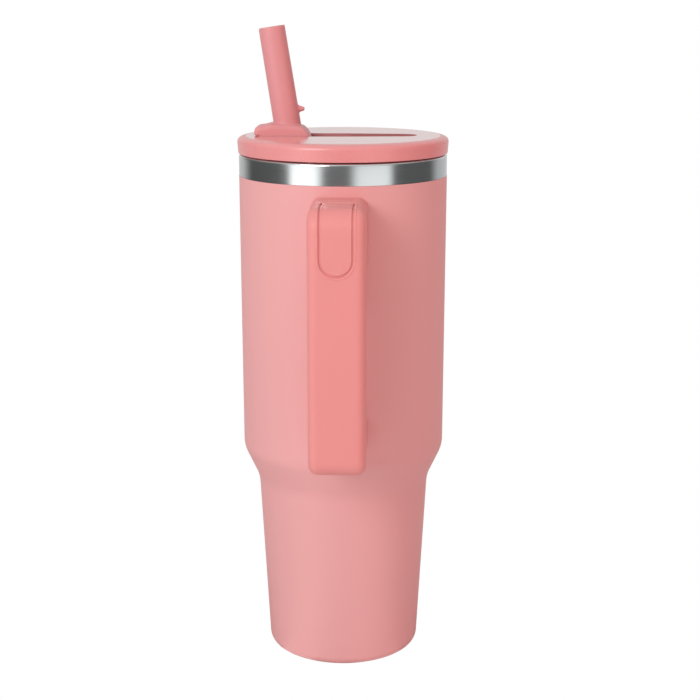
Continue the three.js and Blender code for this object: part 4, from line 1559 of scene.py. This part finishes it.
@dataclass
class Fasteners:
    """Screws, pins, brackets and the small steel parts that stay hidden."""

    screw_r: float = 1.5
    head_r: float = 3.0
    head_t: float = 2.2
    pitch: float = 0.8
    thread_depth: float = 0.3
    kept: tuple[str, ...] = (
        "upper_bracket",
        "lower_bracket",
        "spout_pin_front",
        "spout_pin_rear",
        "vacuum_cap",
        "getter",
        "upper_screw",
    )
    seen: tuple[tuple[str, str], ...] = (
        ("lid_screw_inner", "lid"),
        ("lid_screw_outer", "lid"),
        ("lower_screw", "cup"),
    )

    def build(self, frame: dict[str, Any], dresser: Dresser) -> None:
        """Builds the screws that can be seen and dresses the parts kept from the frame.

        Args:
            frame: The loaded frame.
            dresser: What gives them their finish.
        """
        for node in self.kept:
            dresser.dress_node(frame, node, HARDWARE_FINISH)
        for node, body in self.seen:
            low, high = (Vector(corner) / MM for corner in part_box(node))
            middle = (low + high) / 2
            screw = self._screw(f"{node}_turned", middle, low.z, high.z)
            dresser.dress(screw, HARDWARE_FINISH, body, node)

    def _screw(self, name: str, middle: Vector, low: float, high: float) -> bpy.types.Object:
        """A pan-head screw, head down, with a cross recess.

        Args:
            name: The object's name.
            middle: Where its axis stands.
            low: The height of its head's crown.
            high: The height of its tip.

        Returns:
            The new object.
        """
        shank = low + self.head_t
        root_r = self.screw_r - self.thread_depth
        thread: list[Point] = []
        turns = int((high - shank - 0.6) / self.pitch)
        for k in range(turns):
            base = shank + 0.2 + k * self.pitch
            thread += [(root_r, base), (self.screw_r, base + self.pitch / 2)]
        profile = [
            (0.0, low),
            (1.6, low),
            (2.5, low + 0.35),
            (self.head_r, low + 1.1),
            (self.head_r, shank),
            *thread,
            (root_r, high - 0.4),
            (0.0, high),
        ]
        screw = turned(name, profile, SMALL_TURN_STEPS, (middle.x, middle.y))
        arms = []
        for long_x, long_y in ((1.6, 0.4), (0.4, 1.6)):
            outline = [(-long_x, -long_y), (long_x, -long_y), (long_x, long_y), (-long_x, long_y)]
            points = [(middle.x + x, middle.y + y, low - 0.5) for x, y in outline]
            arms.append(extruded("recess", points, (0, 0, 1.6)))
        combine(screw, arms, "DIFFERENCE")
        crease(screw)
        return screw


@dataclass(frozen=True)
class Lamp:
    """A square area lamp, with its place and side in metres and its power in watts."""

    name: str
    place: tuple[float, float, float]
    size: float
    power: float
    colour: tuple[float, float, float]
    mirrored: bool


@dataclass
class Studio:
    """The floor, the light around the tumbler and the camera."""

    lens: float = 76.7
    sensor: float = 36.0
    camera_at: tuple[float, float, float] = (24.0, -719.05, 321.9)
    pitch: float = 76.742
    turn: float = 1.645
    floor_white: float = 0.8
    floor_bands: tuple[Point, ...] = (
        (-180, 0.75), (-138, 0.6), (-118, 0.1), (-72, 0.13), (-60, 0.2), (-55, 1.7), (-28, 1.7),
        (-18, 0.18), (8, 0.18), (18, 1.15), (52, 1.2), (59, 0.13), (112, 0.12), (128, 0.55),
        (180, 0.75),
    )
    world_bands: tuple[Point, ...] = (
        (-180, 0.74), (-150, 0.74), (-128, 0.16), (-68, 0.14), (-56, 1.2), (-27, 1.2), (-17, 0.25),
        (8, 0.22), (19, 0.8), (52, 0.8), (64, 0.12), (112, 0.14), (140, 0.74), (180, 0.74),
    )
    world_above: float = 0.9
    soft_bands: tuple[Point, ...] = (
        (-180, 0.5), (-110, 0.55), (-60, 0.62), (-10, 0.5), (40, 0.3), (90, 0.2), (150, 0.35),
        (180, 0.5),
    )
    soft_above: float = 0.7
    target: tuple[float, float, float] = (0.0, 0.0, 0.13)
    lamps: tuple[Lamp, ...] = (
        Lamp("key", (-0.58, -0.95, 0.7), 0.5, 7.0, (1.0, 1.0, 1.0), True),
        Lamp("fill", (1.1, -0.5, 0.35), 0.9, 4.2, (1.0, 0.45, 0.38), False),
    )

    def build(self) -> None:
        """Builds the whole studio."""
        self._camera()
        self._floor()
        self._surroundings()
        for lamp in self.lamps:
            self._lamp(lamp)

    def _camera(self) -> None:
        """The camera, looking slightly down at the handle's side."""
        data = bpy.data.cameras.new("camera")
        data.lens = self.lens
        data.sensor_width = self.sensor
        data.clip_start = 0.01
        camera = bpy.data.objects.new("camera", data)
        camera.location = Vector(self.camera_at) * MM
        camera.rotation_euler = (math.radians(self.pitch), 0.0, math.radians(self.turn))
        bpy.context.scene.collection.objects.link(camera)
        bpy.context.scene.camera = camera

    def _floor(self) -> None:
        """A wide floor that looks pure white and mirrors the soft boxes and dark stands."""
        mesh = bmesh.new()
        bmesh.ops.create_grid(mesh, x_segments=1, y_segments=1, size=30.0)
        floor = finished_mesh("floor", mesh)
        made = bpy.data.materials.new("floor_white")
        made.use_nodes = True
        tree = made.node_tree
        nodes, links = tree.nodes, tree.links
        matt = nodes["Principled BSDF"]
        matt.inputs["Base Color"].default_value = (*[self.floor_white] * 3, 1.0)
        matt.inputs["Roughness"].default_value = 0.85
        path = nodes.new("ShaderNodeLightPath")
        place = nodes.new("ShaderNodeTexCoord")
        mirrored = nodes.new("ShaderNodeEmission")
        grey = self._by_azimuth(tree, place.outputs["Object"], self.floor_bands)
        links.new(grey, mirrored.inputs["Color"])
        bright = nodes.new("ShaderNodeEmission")
        glossy = nodes.new("ShaderNodeMixShader")
        links.new(path.outputs["Is Glossy Ray"], glossy.inputs["Fac"])
        links.new(matt.outputs["BSDF"], glossy.inputs[1])
        links.new(mirrored.outputs["Emission"], glossy.inputs[2])
        seen = nodes.new("ShaderNodeMixShader")
        links.new(path.outputs["Is Camera Ray"], seen.inputs["Fac"])
        links.new(glossy.outputs["Shader"], seen.inputs[1])
        links.new(bright.outputs["Emission"], seen.inputs[2])
        links.new(seen.outputs["Shader"], nodes["Material Output"].inputs["Surface"])
        floor.data.materials.append(made)

    def _by_azimuth(self, tree: bpy.types.NodeTree, vector: Any, stops: Sequence[Point]) -> Any:
        """Adds nodes that give a grey by the direction round the tumbler.

        Args:
            tree: The node tree.
            vector: The socket of a direction, or of a place on the floor.
            stops: Degrees from the handle's side, and the level there.

        Returns:
            The grey's socket.
        """
        nodes, links = tree.nodes, tree.links
        split = nodes.new("ShaderNodeSeparateXYZ")
        links.new(vector, split.inputs["Vector"])
        away = nodes.new("ShaderNodeMath")
        away.operation = "MULTIPLY"
        away.inputs[1].default_value = -1.0
        links.new(split.outputs["Y"], away.inputs[0])
        azimuth = nodes.new("ShaderNodeMath")
        azimuth.operation = "ARCTAN2"
        links.new(split.outputs["X"], azimuth.inputs[0])
        links.new(away.outputs[0], azimuth.inputs[1])
        share = nodes.new("ShaderNodeMath")
        share.operation = "MULTIPLY_ADD"
        share.inputs[1].default_value = 1 / (2 * math.pi)
        share.inputs[2].default_value = 0.5
        links.new(azimuth.outputs[0], share.inputs[0])
        bands = nodes.new("ShaderNodeValToRGB")
        ramp = bands.color_ramp
        while len(ramp.elements) < len(stops):
            ramp.elements.new(0.5)
        for element, (angle, level) in zip(ramp.elements, stops):
            element.position = angle / 360 + 0.5
            element.color = (level, level, level, 1.0)
        links.new(share.outputs[0], bands.inputs["Fac"])
        return bands.outputs["Color"]

    def _surroundings(self) -> None:
        """Soft boxes and dark stands around the tumbler, as bands of light by direction."""
        world = bpy.data.worlds.new("studio")
        bpy.context.scene.world = world
        world.use_nodes = True
        nodes, links = world.node_tree.nodes, world.node_tree.links
        background = nodes["Background"]
        place = nodes.new("ShaderNodeTexCoord")
        split = nodes.new("ShaderNodeSeparateXYZ")
        links.new(place.outputs["Generated"], split.inputs["Vector"])
        overhead = nodes.new("ShaderNodeMapRange")
        overhead.inputs["From Min"].default_value = 0.35
        overhead.inputs["From Max"].default_value = 0.75
        links.new(split.outputs["Z"], overhead.inputs["Value"])
        path = nodes.new("ShaderNodeLightPath")
        levels = []
        direction = place.outputs["Generated"]
        for stops, above in (
            (self.soft_bands, self.soft_above),
            (self.world_bands, self.world_above),
        ):
            mix = nodes.new("ShaderNodeMix")
            mix.data_type = "RGBA"
            links.new(overhead.outputs["Result"], mix.inputs["Factor"])
            grey = self._by_azimuth(world.node_tree, direction, stops)
            links.new(grey, mix.inputs["A"])
            mix.inputs["B"].default_value = (above, above, above, 1.0)
            levels.append(mix.outputs["Result"])
        kind = nodes.new("ShaderNodeMix")
        kind.data_type = "RGBA"
        links.new(path.outputs["Is Glossy Ray"], kind.inputs["Factor"])
        links.new(levels[0], kind.inputs["A"])
        links.new(levels[1], kind.inputs["B"])
        seen = nodes.new("ShaderNodeMix")
        seen.data_type = "RGBA"
        links.new(path.outputs["Is Camera Ray"], seen.inputs["Factor"])
        links.new(kind.outputs["Result"], seen.inputs["A"])
        seen.inputs["B"].default_value = (1.0, 1.0, 1.0, 1.0)
        links.new(seen.outputs["Result"], background.inputs["Color"])

    def _lamp(self, lamp: Lamp) -> None:
        """Puts an area lamp in its place, facing the tumbler's middle.

        Args:
            lamp: The lamp, whose mirrored says whether glossy surfaces show it.
        """
        data = bpy.data.lights.new(lamp.name, "AREA")
        data.energy = lamp.power
        data.size = lamp.size
        data.color = lamp.colour
        light = bpy.data.objects.new(lamp.name, data)
        light.visible_glossy = lamp.mirrored
        light.location = lamp.place
        toward = Vector(self.target) - Vector(lamp.place)
        light.rotation_euler = toward.to_track_quat("-Z", "Y").to_euler()
        bpy.context.scene.collection.objects.link(light)


def main() -> None:
    """Builds the tumbler around the frame, with its studio."""
    logging.basicConfig(level=logging.INFO, format="%(name)s: %(message)s")
    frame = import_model()
    Studio().build()
    dresser = Dresser()
    Body().build(dresser)
    Handle().build(dresser)
    Lid().build(dresser)
    Spout().build(dresser)
    Fasteners().build(frame, dresser)
    scene = bpy.context.scene
    scene.view_settings.view_transform = "Standard"


if __name__ == "__main__":
    main()
